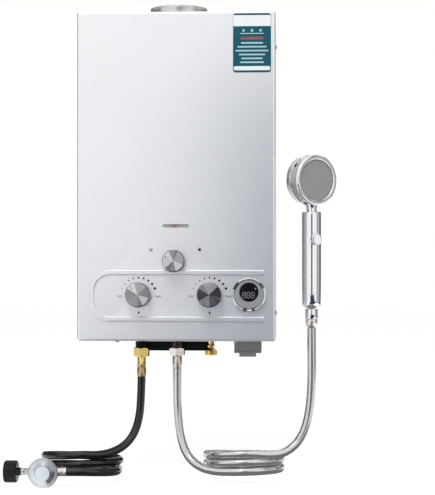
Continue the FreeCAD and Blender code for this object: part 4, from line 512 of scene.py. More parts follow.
# %% Route of the gas hose
GAS_HOSE_RADIUS = 6.7
TILT = 5.5
gas_drop = below_case(
    (-62, -70, 62.7), (-62.8, -70.5, 95), (-65, -73, 129), (-73, -80, 157),
    (-88, -92, 175), (-108, -108, 184), (-129, -122, 186))
gas_turns = coil_turns((-160.3, -71.7, -722.5), 61.3, TILT, -60, -660, 34.3, 6.9, 33)
gas_end = below_case(
    (-99, -93, 214.8), (-99, -116.9, 213), (-108.1, -139, 210.5), (-125, -155.9, 208),
    (-147.1, -165, 206.2), (-172.5, -165, 206.2))
gas_route = new_route("gas_hose_line", gas_drop + gas_turns + gas_end)
gas_points = route_points(gas_route)

# %% [markdown]
# The steel shower hose drops in the middle, sweeps right, winds up two turns and a bit, and
# climbs to the cone under the handset.

# %% Route of the shower hose
STEEL_HOSE_RADIUS = 7.0
steel_drop = below_case(
    (-3, -70, 48.7), (-3.2, -70.3, 85), (-2, -71, 124), (2, -76, 160),
    (13, -86, 190), (34, -100, 207), (60, -115, 212))
steel_turns = coil_turns((107, -71.2, -722.5), 60.5, TILT, -120, 780, 7.0, 37.2, 39)
steel_rise = below_case(
    (155, -117, 185), (175, -108, 182), (195, -100, 168), (209, -95, 143),
    (216, -92, 107), (218.4, -90.4, 65), (218.2, -90, 22), (218, -90, -19.5))
steel_route = new_route("shower_hose_line", steel_drop + steel_turns + steel_rise)
steel_points = route_points(steel_route)

# %% [markdown]
# The rubber hose is the same thickness all along, so its curve just gets a round bevel.

# %% Gas hose
gas_route.data.bevel_depth = GAS_HOSE_RADIUS * MM
gas_route.data.bevel_resolution = 7
gas_route.name = "gas_rubber_hose"
gas_route.data.materials.append(finishes["hose_rubber"])
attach(gas_route, "casing")
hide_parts("gas_hose", "gas_hose_coil")
print("control points of the gas hose:", len(gas_route.data.splines[0].points))

# %% [markdown]
# The steel hose is wound from one strip whose edges hook into each other. Its outside is a row
# of narrow bands with a groove between them. The tube is drawn ring by ring: extrude the last
# ring, move it on along the line, and let its radius step in at each groove. Its turning map
# runs round the hose, so the brushed finish follows the strip. Each step of a band says where
# it comes, as a share of the band, and how far the radius steps in or out there.

# %% Helpers for a ribbed tube
BAND_PITCH = 3.0
BAND_STEPS = ((0.0, -0.50), (0.13, 0.0), (0.87, 0.0))


def ring_places(points, spots):
    """Place and direction of the line at each distance along it."""
    steps = [b - a for a, b in zip(points, points[1:])]
    places = []
    walked, index = 0.0, 0
    for spot in spots:
        while index < len(steps) - 1 and walked + steps[index].length < spot:
            walked += steps[index].length
            index += 1
        way = steps[index].normalized()
        places.append((points[index] + way * (spot - walked), way))
    return places


def ribbed_tube(points, radius, sides):
    """A tube with one groove in each band, extruded ring by ring along the line."""
    length = route_length(points)
    count = int(length / (BAND_PITCH * MM))
    pitch = length / count
    rings = [((band + share) * pitch, (radius + inset) * MM)
             for band in range(count) for share, inset in BAND_STEPS]
    rings.append((length, (radius + BAND_STEPS[0][1]) * MM))
    spots = [spot for spot, size in rings]
    places = ring_places(points, spots)
    tube = bmesh.new()
    layer = tube.loops.layers.uv.new("turning")
    ahead = places[0][1]
    turn = UP.rotation_difference(ahead).to_matrix()
    first = bmesh.ops.create_circle(tube, segments=sides, radius=1.0)["verts"]
    edges = list(tube.edges)
    ring_of = {vertex: vertex.co.copy() for vertex in first}
    for number, ((spot, way), (_, size)) in enumerate(zip(places, rings)):
        turn = ahead.rotation_difference(way).to_matrix() @ turn
        ahead = way
        if number:
            made = bmesh.ops.extrude_edge_only(tube, edges=edges)["geom"]
            edges = [item for item in made if isinstance(item, bmesh.types.BMEdge) and
                     all(vertex not in ring_of for vertex in item.verts)]
            fresh = {}
            for vertex in {vertex for edge in edges for vertex in edge.verts}:
                old = next(edge.other_vert(vertex) for edge in vertex.link_edges
                           if edge.other_vert(vertex) in ring_of)
                fresh[vertex] = ring_of[old]
            for face in (item for item in made if isinstance(item, bmesh.types.BMFace)):
                corners = [(fresh if loop.vert in fresh else ring_of)[loop.vert]
                           for loop in face.loops]
                centre = sum(corners, Vector())
                middle = math.atan2(centre.y, centre.x) / math.tau
                for loop, corner in zip(face.loops, corners):
                    around = math.atan2(corner.y, corner.x) / math.tau
                    row = number if loop.vert in fresh else number - 1
                    loop[layer].uv = (around + round(middle - around), spots[row])
            ring_of = fresh
        for vertex, corner in ring_of.items():
            vertex.co = spot + turn @ (corner * size)
    bmesh.ops.recalc_face_normals(tube, faces=tube.faces)
    return tube, count


# %% [markdown]
# Every new piece ends the same way: its mesh is shaded smooth, with edges sharper than a set
# angle kept, and it gets its finishes, its body and the nodes it stands for. Weighted normals
# keep the wide flats of a sheet part truly flat beside its narrow folds.

# %% Helper that finishes a piece


def finish_piece(name, form, *looks, body="casing", slot=None, replaces="", sharp=40,
                 weighted=False):
    """Turns a bmesh into a named piece with its finishes, which moves with its body."""
    mesh = bpy.data.meshes.new(name)
    form.to_mesh(mesh)
    form.free()
    mesh.shade_smooth()
    mesh.set_sharp_from_angle(angle=math.radians(sharp))
    for look in looks:
        mesh.materials.append(finishes[look])
    piece = bpy.data.objects.new(name, mesh)
    bpy.context.scene.collection.objects.link(piece)
    if weighted:
        modifier = piece.modifiers.new("flat_faces", "WEIGHTED_NORMAL")
        modifier.keep_sharp = True
    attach(piece, body)
    nodes = replaces.split()
    if nodes:
        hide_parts(*nodes)
    print(f"{name}: {len(mesh.polygons)} faces")
    return piece


# %% Draw the steel hose
form, bands = ribbed_tube(steel_points, STEEL_HOSE_RADIUS, sides=20)
print("bands on the steel hose:", bands)
steel_hose = finish_piece("shower_steel_hose", form, "hose_steel",
                          replaces="shower_hose shower_hose_coil", sharp=30)
bpy.data.objects.remove(steel_route)

# %% [markdown]
# ## Helpers for shapes
#
# Most pieces of a heater are turned, bent or moulded. A turned one is a lathe job: draw half of
# its outline as a wire and spin it all the way round. A bent sheet part starts from a merged
# copy of its engineering node, whose loose triangles are joined back into whole faces.

# %% Lathe, copy and bevel
LINES_ALONG = 2.37
WELD = 1e-6


def lathe(profile, steps=96):
    """Spins an outline of (radius, height) in mm about Z; a last point like the first closes it."""
    form = bmesh.new()
    points = [form.verts.new(mm(radius, 0, height)) for radius, height in profile]
    edges = [form.edges.new(pair) for pair in zip(points, points[1:])]
    bmesh.ops.spin(form, geom=points + edges, cent=(0, 0, 0), axis=(0, 0, 1), dvec=(0, 0, 0),
                   angle=math.tau, steps=steps, use_merge=True)
    bmesh.ops.remove_doubles(form, verts=form.verts, dist=WELD)
    bmesh.ops.recalc_face_normals(form, faces=form.faces)
    return form


def merged_copy(node):
    """A copy of an engineering node with its triangles joined into whole faces."""
    form = bmesh.new()
    form.from_mesh(frame["nodes"][node].data)
    bmesh.ops.remove_doubles(form, verts=form.verts, dist=WELD)
    bmesh.ops.dissolve_limit(form, angle_limit=math.radians(0.5), verts=form.verts,
                             edges=form.edges)
    return form


def soften(form, width, segments=2, angle=40):
    """Rounds every edge whose faces meet at more than the angle."""
    edges = [edge for edge in form.edges
             if len(edge.link_faces) == 2 and edge.calc_face_angle() > math.radians(angle)]
    bmesh.ops.bevel(form, geom=edges, offset=width * MM, offset_type="OFFSET", segments=segments,
                    profile=0.5, affect="EDGES", material=-1, clamp_overlap=True)
    return form


def settle(form, place, turn=None):
    """Lays a finished form over and moves it to its place in mm."""
    if turn is not None:
        bmesh.ops.rotate(form, verts=form.verts, cent=(0, 0, 0), matrix=turn)
    bmesh.ops.translate(form, verts=form.verts, vec=mm(*place))
    return form


def turning(form, place=(0, 0, 0), turn=None):
    """Adds the turning map: U runs round the axis, V outwards and down along it."""
    layer = form.loops.layers.uv.new("turning")
    back = turn.transposed() if turn is not None else Matrix.Identity(3)
    for face in form.faces:
        middle = back @ (face.calc_center_median() - mm(*place))
        angle = math.atan2(middle.y, middle.x) / math.tau
        for loop in face.loops:
            spot = back @ (loop.vert.co - mm(*place))
            around = math.atan2(spot.y, spot.x) / math.tau if spot.xy.length > WELD else angle
            loop[layer].uv = (around + round(angle - around),
                              spot.xy.length - LINES_ALONG * spot.z)
    return form


def turned_piece(name, profile, place, turn, look, steps=96, **more):
    """A whole lathe job: spin, map, lay over, finish."""
    finish_piece(name, settle(turning(lathe(profile, steps)), place, turn), look, **more)


# %% [markdown]
# ## Front cover
#
# One bent sheet makes the front, the top and both sides. Its folds and the raised bead round the
# controls are already right in the engineering model, so a merged copy is enough: weighted
# normals keep the wide flats flat, and the narrow folds shade as true curves.

# %% Cover
form = merged_copy("front_cover")
finish_piece("front_cover_shell", form, "cover_paint", replaces="front_cover", sharp=38,
             weighted=True)

# %% [markdown]
# ## Flue collar
#
# The collar is a short piece of stainless tube with a flange below and a rolled bead near its
# mouth. It is turned work, so its outline is spun and its lines run round it.

# %% Flue collar
turned_piece("flue_collar_tube", [
    (44.7, 12), (50.5, 12), (50.5, 12.8), (46.2, 12.8), (45.7, 13.0), (45.5, 13.5), (45.5, 41.2),
    (45.7, 41.6), (46.3, 42.0), (46.6, 42.6), (46.7, 43.2), (46.6, 43.8), (46.3, 44.4),
    (45.7, 44.8), (45.2, 45.0), (44.9, 44.9), (44.7, 44.7), (44.7, 12)],
    (0, INSIDE_DEPTH, 0), None,
    "flue_steel", replaces="flue_collar", sharp=50)

# %% [markdown]
# ## Knobs
#
# Each knob is a turned aluminium cap with a polished edge, which carries a painted dark
# reflection. The outline is spun in even steps, so one of its faces lies just where the pointer
# goes: that face is pushed in and painted dark. The spun face of the cap reads its painted
# reflection sectors from the turning map and turns with the knob.

# %% Three knobs
KNOB_STEPS = 120
POINTER_DEPTH = 0.5


def push(form, faces, depth, keep=False):
    """Moves faces along Z with walls at their edges: gives back the moved ones."""
    made = bmesh.ops.extrude_face_region(form, geom=faces)["geom"]
    if not keep:
        bmesh.ops.delete(form, geom=faces, context="FACES_ONLY")
    points = [item for item in made if isinstance(item, bmesh.types.BMVert)]
    bmesh.ops.translate(form, verts=points, vec=mm(0, 0, depth))
    return [item for item in made if isinstance(item, bmesh.types.BMFace)]


def knob_cap(knob, x, level, radius, base, top, pointer):
    """A cap that is named for what it controls, with its pointer at an angle from the top."""
    rim = radius - 1.3
    form = lathe([
        (0, base), (radius - 1.6, base), (radius - 1.2, base + 0.1), (radius - 1.0, base + 0.4),
        (radius - 1.0, base + 0.9), (radius - 0.15, base + 1.2), (radius, base + 1.5),
        (radius, top - 1.5), (radius - 0.1, top - 1.1), (radius - 0.4, top - 0.6),
        (radius - 0.8, top - 0.25), (rim, top - 0.05), (rim - 0.15, top), (radius - 2.2, top),
        (0.55 * radius, top), (0.02, top), (0, top)], KNOB_STEPS)
    turning(form)
    step = math.tau / KNOB_STEPS
    wanted = round(math.radians(pointer) / step - 0.5) * step + step / 2 + math.radians(90)
    mark = None
    for face in form.faces:
        middle = face.calc_center_median()
        reach = middle.xy.length / MM
        # Top faces take the painted reflection sectors, the rounded front edge a painted dark
        # reflection.
        if face.normal.z > 0.9 and reach < rim:
            face.material_index = 1
            side = middle.xy.normalized().dot(Vector((math.cos(wanted), math.sin(wanted))))
            if side > math.cos(step / 4) and 0.6 * radius < reach < radius - 2.2:
                mark = face
        elif face.normal.z > 0.15 and reach > radius - 2:
            face.material_index = 2
    for face in push(form, [mark], -POINTER_DEPTH):
        face.material_index = 3
    settle(form, (x, COVER_FRONT, level), TO_FRONT)
    # The face takes the painted reflection sectors and the rounded edge the painted dark
    # reflection.
    finish_piece(knob + "_knob_cap", form, "knob_metal", knob + "_knob_face", "knob_rim",
                 "print_black", body=knob + "_control", replaces=knob + "_knob")


knob_cap("gas", GAS_KNOB_X, CONTROL_LEVEL, 20.0, 1.5, 20.0, 45)
knob_cap("water", WATER_KNOB_X, CONTROL_LEVEL, 20.0, 1.5, 20.0, -50)
knob_cap("season", SEASON_KNOB_X, SEASON_LEVEL, 18.0, 3.0, 19.5, 63)

# %% [markdown]
# ## Temperature display
#
# A chromed ring holds a silver face with a black lens set above its middle. The ring is a closed
# outline, spun: a flat seat, a round shoulder and a lip. The silver face is a merged copy whose
# edges get rounded. The digits are the usual seven bars, each a small box with pointed ends, and
# all of them glow as they do when the display starts.

# %% Bezel, face and lens


def rounded_copy(name, node, look, width, angle=40, axis=None, **more):
    """A merged copy with its edges rounded, mapped round an axis to the front if asked."""
    form = soften(merged_copy(node), width, angle=angle)
    if axis:
        turning(form, axis, TO_FRONT)
    finish_piece(name, form, look, replaces=node, weighted=True, **more)


GAUGE = (GAUGE_X, COVER_FRONT, CONTROL_LEVEL)
LENS = (GAUGE_X, COVER_FRONT, CONTROL_LEVEL + 4.0)
LENS_TOP = 3.78
# The ring wears painted glints, dark reflection sectors in its base colour.
turned_piece("gauge_bezel", [
    (23.4, 0), (27.2, 0), (27.5, 0.3), (27.5, 2.5), (27.35, 3.3), (27.0, 4.3), (26.6, 5.3),
    (26.1, 6.1), (25.6, 6.45), (25.2, 6.45), (24.7, 6.1), (24.2, 5.4), (23.7, 4.4), (23.4, 3.6),
    (23.4, 0)], GAUGE, TO_FRONT, "bezel_painted_glints", replaces="thermometer_bezel", sharp=50)
turned_piece("gauge_lens", [
    (0, 2.8), (15.2, 2.8), (15.35, 2.95), (15.35, 3.5), (15.2, 3.7), (14.8, LENS_TOP), (10, 3.8),
    (0, 3.8)], LENS, TO_FRONT, "display_black", replaces="thermometer_display", sharp=50)
rounded_copy("gauge_face", "thermometer_body", "display_silver", 0.25, angle=60, axis=GAUGE)

# %% Bars of the digits
grainy("digit_glow", (0.31, 0.31, 0.32), 0.4, depth=0.001, vary=0.1)
DIGIT_TALL, DIGIT_WIDE, DIGIT_STEP = 9.0, 4.8, 7.0
DIGITS_ACROSS, DIGITS_UP = -0.9, -4.6
BAR_WIDE, BAR_THICK, BAR_GAP = 0.70, 0.12, 0.25
DIGIT_BARS = [(0, 1, 0), (0, 0, 0), (0, -1, 0), (-1, 0.5, 90), (1, 0.5, 90), (-1, -0.5, 90),
              (1, -0.5, 90)]


def add_form(whole, part, place=(0, 0, 0), turn=None):
    """Lays a part over, moves it and joins it to a whole form."""
    mesh = bpy.data.meshes.new("part")
    settle(part, place, turn).to_mesh(mesh)
    part.free()
    whole.from_mesh(mesh)
    bpy.data.meshes.remove(mesh)


def bar_shape(length, wide, thick, angle):
    """A flat bar with pointed ends, drawn in the XY plane."""
    form = bmesh.new()
    bmesh.ops.create_circle(form, cap_ends=True, segments=6, radius=1.0)
    for vertex in form.verts:
        tip = abs(vertex.co.x) > 0.9
        vertex.co.x = math.copysign(length / 2 if tip else length / 2 - wide / 2, vertex.co.x) * MM
        vertex.co.y = 0 if tip else math.copysign(wide / 2, vertex.co.y) * MM
    push(form, form.faces[:], thick, keep=True)
    return settle(form, (0, 0, 0), about_z(angle))


form = bmesh.new()
for digit in (-1, 0, 1):
    for across, along, angle in DIGIT_BARS:
        length = (DIGIT_WIDE if angle == 0 else DIGIT_TALL / 2) - BAR_GAP
        add_form(form, bar_shape(length, BAR_WIDE, BAR_THICK, angle), (
            digit * DIGIT_STEP + DIGITS_ACROSS + across * DIGIT_WIDE / 2,
            along * DIGIT_TALL / 2 + DIGITS_UP, LENS_TOP))
bmesh.ops.recalc_face_normals(form, faces=form.faces)
settle(form, LENS, TO_FRONT)
finish_piece("gauge_digits", form, "digit_glow", slot="display_black", sharp=35)

# %% [markdown]
# ## Marks on the cover
#
# The scale dots, MIN and MAX and the small icons are printed on the paint. A print is a film of
# ink: each mark here is a flat form a tenth of a millimetre proud, so it never flickers with the
# sheet below. The dots grow as they go round from left to right.

# %% Shapes of the printed marks
PRINT_PROUD, CAPITAL_SHARE = 0.12, 0.72
marks = {"black": bmesh.new(), "grey": bmesh.new()}


def print_mark(shape, x, level, ink="black"):
    """Lays a flat shape on the cover."""
    add_form(marks[ink], shape, (x, COVER_FRONT, level), TO_FRONT)


def add_block(form, place, size, turn=0.0):
    """Adds a box of a size at a place, then turned about Z."""
    bmesh.ops.create_cube(form, size=1.0, matrix=Matrix.Rotation(math.radians(turn), 4, "Z")
                          @ Matrix.Translation(mm(*place)) @ Matrix.Diagonal((*mm(*size), 1)))


def flat_block(left, right, low, high, thick, corner=0.0, angle=0.0):
    """A flat block in the drawing plane, with rounded corners if asked."""
    form = bmesh.new()
    add_block(form, ((left + right) / 2, (low + high) / 2, thick / 2),
              (right - left, high - low, thick), angle)
    if corner:
        upright = [edge for edge in form.edges if edge.calc_length() < 1.01 * thick * MM]
        bmesh.ops.bevel(form, geom=upright, offset=corner * MM, offset_type="OFFSET", segments=5,
                        profile=0.5, affect="EDGES", material=-1)
    return form


def disc(radius, steps=24):
    form = bmesh.new()
    bmesh.ops.create_cone(form, cap_ends=True, segments=steps, radius1=radius * MM,
                          radius2=radius * MM, depth=PRINT_PROUD * MM)
    return settle(form, (0, 0, PRINT_PROUD / 2))


def word(text, height):
    """A printed word, centred on its place."""
    curve = bpy.data.curves.new("word", "FONT")
    curve.body = text
    curve.size = height / CAPITAL_SHARE * MM
    curve.align_x, curve.align_y = "CENTER", "CENTER"
    curve.extrude = PRINT_PROUD / 2 * MM
    letters = bpy.data.objects.new("word", curve)
    mesh = bpy.data.meshes.new_from_object(letters)
    bpy.data.objects.remove(letters)
    form = bmesh.new()
    form.from_mesh(mesh)
    bpy.data.meshes.remove(mesh)
    return settle(form, (0, 0, PRINT_PROUD / 2))


def drop(size, lean):
    """A disc whose upper half is drawn out to a point, which may lean over like a flame."""
    form = disc(1.0, 28)
    for vertex in form.verts:
        up = vertex.co.y / MM
        if up > 0:
            vertex.co.x *= max(1 - up, 0) ** 0.85 + 0.02
            vertex.co.x += lean * math.sin(up * 3.0) * MM
            vertex.co.y *= 1.85
        vertex.co.x *= size
        vertex.co.y *= size
    return form


# %% Dots, words and icons
DOTS, DOT_RING, DOT_START, DOT_STEP = 9, 28.5, 157, 16.7
DOT_SMALLEST, DOT_GROWTH, DOT_DROP = 0.78, 0.165, 1.5
ICON_LEVEL, WORD_LEVEL, WORD_HIGH = CONTROL_LEVEL - 29.5, CONTROL_LEVEL - 3.2, 3.3
SNOW, SUN = (-40.0, SEASON_LEVEL + 17.5), (38.0, SEASON_LEVEL + 18.0)
FLAME_LEAN, ARM_HALF = 0.22, 0.28
for knob_x in (GAS_KNOB_X, WATER_KNOB_X):
    for number in range(DOTS):
        angle = math.radians(DOT_START - number * DOT_STEP)
        print_mark(disc(DOT_SMALLEST + DOT_GROWTH * number),
                   knob_x + DOT_RING * math.cos(angle),
                   CONTROL_LEVEL - DOT_DROP + DOT_RING * math.sin(angle))
    print_mark(word("MIN", WORD_HIGH), knob_x - 30.0, WORD_LEVEL)
    print_mark(word("MAX", WORD_HIGH), knob_x + 31.0, WORD_LEVEL)
print_mark(drop(1.7, FLAME_LEAN), GAS_KNOB_X, ICON_LEVEL)
print_mark(drop(1.7, 0.0), WATER_KNOB_X, ICON_LEVEL)
for arm in range(30, 390, 60):
    print_mark(flat_block(0, 3.4, -ARM_HALF, ARM_HALF, PRINT_PROUD, angle=arm), *SNOW, "grey")
    for side in (-1, 1):
        branch = settle(flat_block(0, 1.3, -0.2, 0.2, PRINT_PROUD, angle=side * 50), (2.0, 0, 0))
        print_mark(settle(branch, (0, 0, 0), about_z(arm)), *SNOW, "grey")
for ray in range(12):
    reach = 3.8 if ray % 2 else 3.4
    print_mark(flat_block(2.6, reach, -ARM_HALF, ARM_HALF, PRINT_PROUD, angle=ray * 30), *SUN)
print_mark(disc(2.1, 32), *SUN)
flame = settle(settle(drop(1.3, FLAME_LEAN), (10.2, 5.4, LENS_TOP)), LENS, TO_FRONT)
for name, form, look, slot in (("gauge_flame_sign", flame, "digit_glow", "display_black"),
                               ("printed_marks", marks["black"], "print_black", "cover_paint"),
                               ("printed_snowflake", marks["grey"], "print_grey", "cover_paint")):
    finish_piece(name, form, look, slot=slot, sharp=35)

# %% [markdown]
# ## Label
#
# A plastic film label is stuck on the upper right corner. It is a thin sheet with round corners,
# and what is on it is plain blocks: a white head, three buttons, a red bar, a stack of stripes
# round one middle line and a white pill at the foot. Each block lies a hair above the film.

# %% Label
LABEL_LEFT, LABEL_RIGHT, LABEL_TOP, LABEL_LOW = 91.5, 152.3, 26.0, -68.8
LABEL_MIDDLE = (LABEL_LEFT + LABEL_RIGHT) / 2
FILM = 0.08
label_forms = {}
for name, base, vary in (("teal", (0.008, 0.085, 0.115), 0.06), ("white", (0.74, 0.77, 0.79), 0.03),
                         ("pale", (0.42, 0.56, 0.59), 0.05), ("red", (0.26, 0.085, 0.07), 0.08)):
    grainy("label_" + name, base, 0.35, depth=0.004, vary=vary, IOR=1.25)
    label_forms[name] = bmesh.new()


def block(name, left, right, low, high, corner, proud=FILM):
    """A film with rounded corners, which lies a hair above what is below it."""
    add_form(label_forms[name], flat_block(left, right, low, high, FILM, corner),
             (0, COVER_FRONT - proud, 0), TO_FRONT)


def centred(name, level, width, height, corner):
    block(name, LABEL_MIDDLE - width / 2, LABEL_MIDDLE + width / 2,
          LABEL_TOP - level - height / 2, LABEL_TOP - level + height / 2, corner)


block("teal", LABEL_LEFT, LABEL_RIGHT, LABEL_LOW, LABEL_TOP, 4.5, proud=0.0)
centred("white", 11.9, 60.0, 17.6, 1.2)
for side in (-1, 0, 1):
    middle = LABEL_MIDDLE + side * 13.6
    block("pale", middle - 2.0, middle + 2.0, LABEL_TOP - 29.6, LABEL_TOP - 25.6, 1.9)
centred("pale", 32.4, 38.0, 1.3, 0.5)
centred("red", 40.0, 36.0, 4.2, 0.6)
for number, width in enumerate((35.0, 46.5, 52.5, 42.0, 34.0, 38.5)):
    centred("pale", 47.5 + number * 6.2, width, 2.3, 0.7)
centred("white", 88.0, 59.0, 6.6, 3.2)
for name, form in label_forms.items():
    finish_piece("label_" + name + "_film", form, "label_" + name, slot="cover_paint", sharp=35)

# %% [markdown]
# ## Underside of the case
#
# Pipe stubs come down through a black bent bracket. Their outsides are threads: the outline of a
# thread is a row of V ridges, so it is spun like any turned part. At this size a ring for each
# ridge looks the same as the real helix and stays light.

# %% Threads


def ridges(root, crest, low, high, pitch):
    """The outline of a thread from low to high: a V ridge for each pitch."""
    count = max(1, round((high - low) / pitch))
    step = (high - low) / count
    outline = []
    for number in range(count):
        start = low + number * step
        outline += [(radius, start + share * step) for radius, share in
                    ((root, 0.1), (crest, 0.42), (crest, 0.58), (root, 0.9))]
    return outline


PIPE_CREST, PIPE_ROOT, PIPE_PITCH = 10.3, 9.3, 1.8
turned_metal("stub_brown", (0.15, 0.105, 0.095), 0.28, vary=0.3, stretch=0.2)
turned_metal("stub_black", (0.035, 0.03, 0.032), 0.34, vary=0.3, stretch=0.2)
for pipe, axis, node, look in (("gas", GAS_AXIS, "gas_inlet_union", "stub_black"),
                               ("hot", HOT_AXIS, "hot_outlet_fitting", "stub_brown")):
    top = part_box(node)[1].z / MM
    turned_piece(pipe + "_threaded_stub", [
        (0, -521), (8.6, -521), *ridges(PIPE_ROOT, PIPE_CREST, -520.8, -500, PIPE_PITCH),
        (9.6, -499.5), (9.6, top), (0, top)], axis, None, look, replaces=node, sharp=30)
turned_piece("cold_threaded_inlet", [
    (0, -517), (7.2, -517), (7.2, -525.6), (7.6, -526), (9.0, -526),
    *ridges(PIPE_ROOT, PIPE_CREST, -525.8, -518.6, PIPE_PITCH), (9.4, -518.2), (7.4, -516.6),
    (5.2, -514.6), (4.9, -513.6), (5.2, -512.6), (5.9, -511.2), (5.9, -509.8), (5.3, -508.6),
    (5.0, -506.0), (5.5, -504.5), (5.5, -447), (0, -447)], COLD_AXIS, None, "brass",
    replaces="cold_inlet_fitting", sharp=30)

# %% [markdown]
# ## Hose nuts
#
# A nut starts as a thick washer: it is spun with chamfered ends, and then every point outside
# the hexagon is drawn in to the nearest flat. The cone of the chamfer and the flats then meet in
# the curved lines that a real nut shows.

# %% Hexagonal nuts
CHAMFER_START, CHAMFER_ANGLE = 0.97, 32


def hex_nut(name, node, look, place, turn, across, low, high, bore, corner_at):
    """A chamfered nut with a corner at the given angle in degrees."""
    inner, corner = across / 2 * CHAMFER_START, across / 2 / math.cos(math.radians(30))
    rise = (corner - inner) * math.tan(math.radians(CHAMFER_ANGLE))
    foot = [(inner + (corner - inner) * fifth / 5, low + rise * fifth / 5) for fifth in range(6)]
    head = [(radius, low + high - height) for radius, height in reversed(foot)]
    form = lathe([(bore, low), *foot, *head, (bore, high), (bore, low)])
    for vertex in form.verts:
        away = (math.degrees(math.atan2(vertex.co.y, vertex.co.x)) - corner_at) % 60 - 30
        limit = across / 2 * MM / math.cos(math.radians(away))
        if vertex.co.xy.length > limit:
            scale = limit / vertex.co.xy.length
            vertex.co.x *= scale
            vertex.co.y *= scale
    finish_piece(name, settle(turning(form), place, turn), look, replaces=node, sharp=25)


hex_nut("gas_hose_brass_nut", "gas_hose_nut", "brass", GAS_AXIS, None,
        24, -528.9, -513.9, 6.4, 26.25)
hex_nut("shower_hose_steel_nut", "shower_hose_nut", "bright_nickel", HOT_AXIS, None,
        24, -526.9, -513.9, 7.4, 26.25)

# %% [markdown]
# Below each nut a sleeve grips the hose. The gas sleeve is bright brass with a bead, and a
# crimped ferrule in dull brass follows. Both are turned work, in two finishes.

# %% Sleeves and ferrules
turned_piece("gas_hose_sleeve", [
    (0, -521.3), (9.0, -521.3), (9.0, -522.5), (6.7, -523), (6.7, -540.6), (7.0, -541.0),
    (7.25, -541.6), (7.25, -542.4), (6.9, -543.0), (0, -543)], GAS_AXIS, None, "brass",
    replaces="gas_hose_tail")
turned_piece("gas_hose_ferrule", [
    (6.72, -543.0), (7.2, -543.2), (7.4, -543.7), (7.4, -545.0), (6.9, -545.8), (6.9, -546.6),
    (7.4, -547.4), (7.4, -559.9), (7.3, -561.0), (7.0, -561.6), (6.72, -561.7), (6.72, -543.0)],
    GAS_AXIS, None, "dull_brass", slot="brass")
turned_piece("shower_hose_sleeve", [
    (0, -521.3), (9.0, -521.3), (9.0, -522.5), (7.6, -523), (7.6, -528.2), (7.8, -528.6),
    (7.8, -546.4), (7.6, -547.3), (7.1, -547.7), (0, -547.7)], HOT_AXIS, None, "nickel",
    replaces="shower_hose_tail")

# %% [markdown]
# The bracket, the battery case and its lid are folded and moulded parts. Merged copies of their
# nodes get rounded edges, which catch a thin line of light as real edges do.

# %% Bracket and battery case
rounded_copy("pipe_stub_bracket", "pipe_bracket", "bracket_black", 0.5, sharp=50)
rounded_copy("battery_case_moulding", "battery_case", "grey_plastic", 0.5, sharp=50)
rounded_copy("battery_lid_moulding", "battery_lid", "grey_plastic", 0.35, body="battery_lid",
             sharp=50)

# %% [markdown]
# ## Screws
#
# Four screws hold the cover at its sides and two below. A pan head is a low dome, and its cross
# recess is a group of faces pushed in: the middle of the dome and four arms.

# %% Cover screws
RECESS_DEPTH = 1.1


def screw_head():
    """A pan head round Z with a cross recess."""
    form = lathe([(0, 0), (4.0, 0), (4.0, 0.5), (3.8, 1.1), (3.3, 1.65), (2.6, 2.0), (0.55, 2.2),
                  (0, 2.2)], 24)
    arms = []
    for face in form.faces:
        middle = face.calc_center_median()
        angle = math.degrees(math.atan2(middle.y, middle.x)) % 90
        inside = middle.xy.length < 0.5 * MM
        arm = middle.xy.length < 2.5 * MM and abs(angle - 7.5) < 2
        if face.normal.z > 0.8 and (inside or arm):
            arms.append(face)
    push(form, arms, -RECESS_DEPTH)
    return form


screws = bmesh.new()
for side, turn in ((-1, TO_LEFT), (1, TO_RIGHT)):
    for level in (COVER_BOTTOM + 40, COVER_TOP - 40):
        add_form(screws, screw_head(), (side * 159.5, -10, level), turn)
for side in (-1, 1):
    add_form(screws, screw_head(), (side * 95.7, -131.5, COVER_BOTTOM), TO_FLOOR)
bmesh.ops.recalc_face_normals(screws, faces=screws.faces)
finish_piece("cover_screw_heads", screws, "screw_steel", replaces="cover_screws")

# %% [markdown]
# ## Gas regulator
#
# The regulator is a die-cast body with a pressed cover whose edge is rolled over it. Its face is
# a shallow cone with a flat raised middle. Everything here is round, so every part is spun and
# laid over: the cover to the front, the hose fitting to the right and the stem to the left.

# %% Regulator cover, body and fittings
REGULATOR_X, REGULATOR_Y, REGULATOR_LEVEL = -208.0, -165.0, FLOOR_LEVEL + 23.8
FACE = (REGULATOR_X, REGULATOR_Y - 12.0, REGULATOR_LEVEL)
OUTLET = (REGULATOR_X + 21.5, REGULATOR_Y, REGULATOR_LEVEL)
STEM = (REGULATOR_X - 21.5, REGULATOR_Y, REGULATOR_LEVEL)
PLATE_RADIUS = 11.3
form = turning(lathe([
    (0, 0.1), (23.3, 0.1), (23.7, 0.4), (23.8, 1.0), (23.8, 2.3), (23.65, 3.0), (23.2, 3.65),
    (22.6, 3.9), (22.0, 3.75), (21.5, 3.3), (21.0, 3.2), (19.4, 3.75), (19.1, 3.65), (17.2, 4.7),
    (13.9, 6.15), (13.4, 6.5), (13.0, 7.3), (12.6, 7.8), (12.1, 8.0), (11.5, 8.0),
    (PLATE_RADIUS, 7.8), (0, 7.8)]))
for face in form.faces:
    if face.normal.z > 0.9 and face.calc_center_median().xy.length < PLATE_RADIUS * MM:
        face.material_index = 1
# The cone carries painted light and shade sectors; the raised middle is the plain pale plate.
finish_piece("regulator_face", settle(form, FACE, TO_FRONT), "regulator_zinc_painted_sheen", "zinc_plate",
             replaces="regulator_cover")
rounded_copy("regulator_casting", "regulator_body", "zinc", 0.5, angle=50, axis=FACE)
hex_nut("regulator_outlet_nut", "regulator_fitting", "nickel", OUTLET, TO_RIGHT,
        13, 0, 5.0, 3.0, 30)
turned_piece("regulator_hose_ferrule", [
    (6.72, 5.0), (7.1, 5.2), (7.2, 5.6), (7.2, 6.6), (6.8, 7.1), (6.8, 7.6), (7.2, 8.1), (7.2, 9.0),
    (6.8, 9.5), (6.8, 10.0), (7.2, 10.5), (7.2, 13.2), (7.0, 13.8), (6.72, 14.0), (6.72, 5.0)],
    OUTLET, TO_RIGHT, "bright_nickel", slot="nickel")
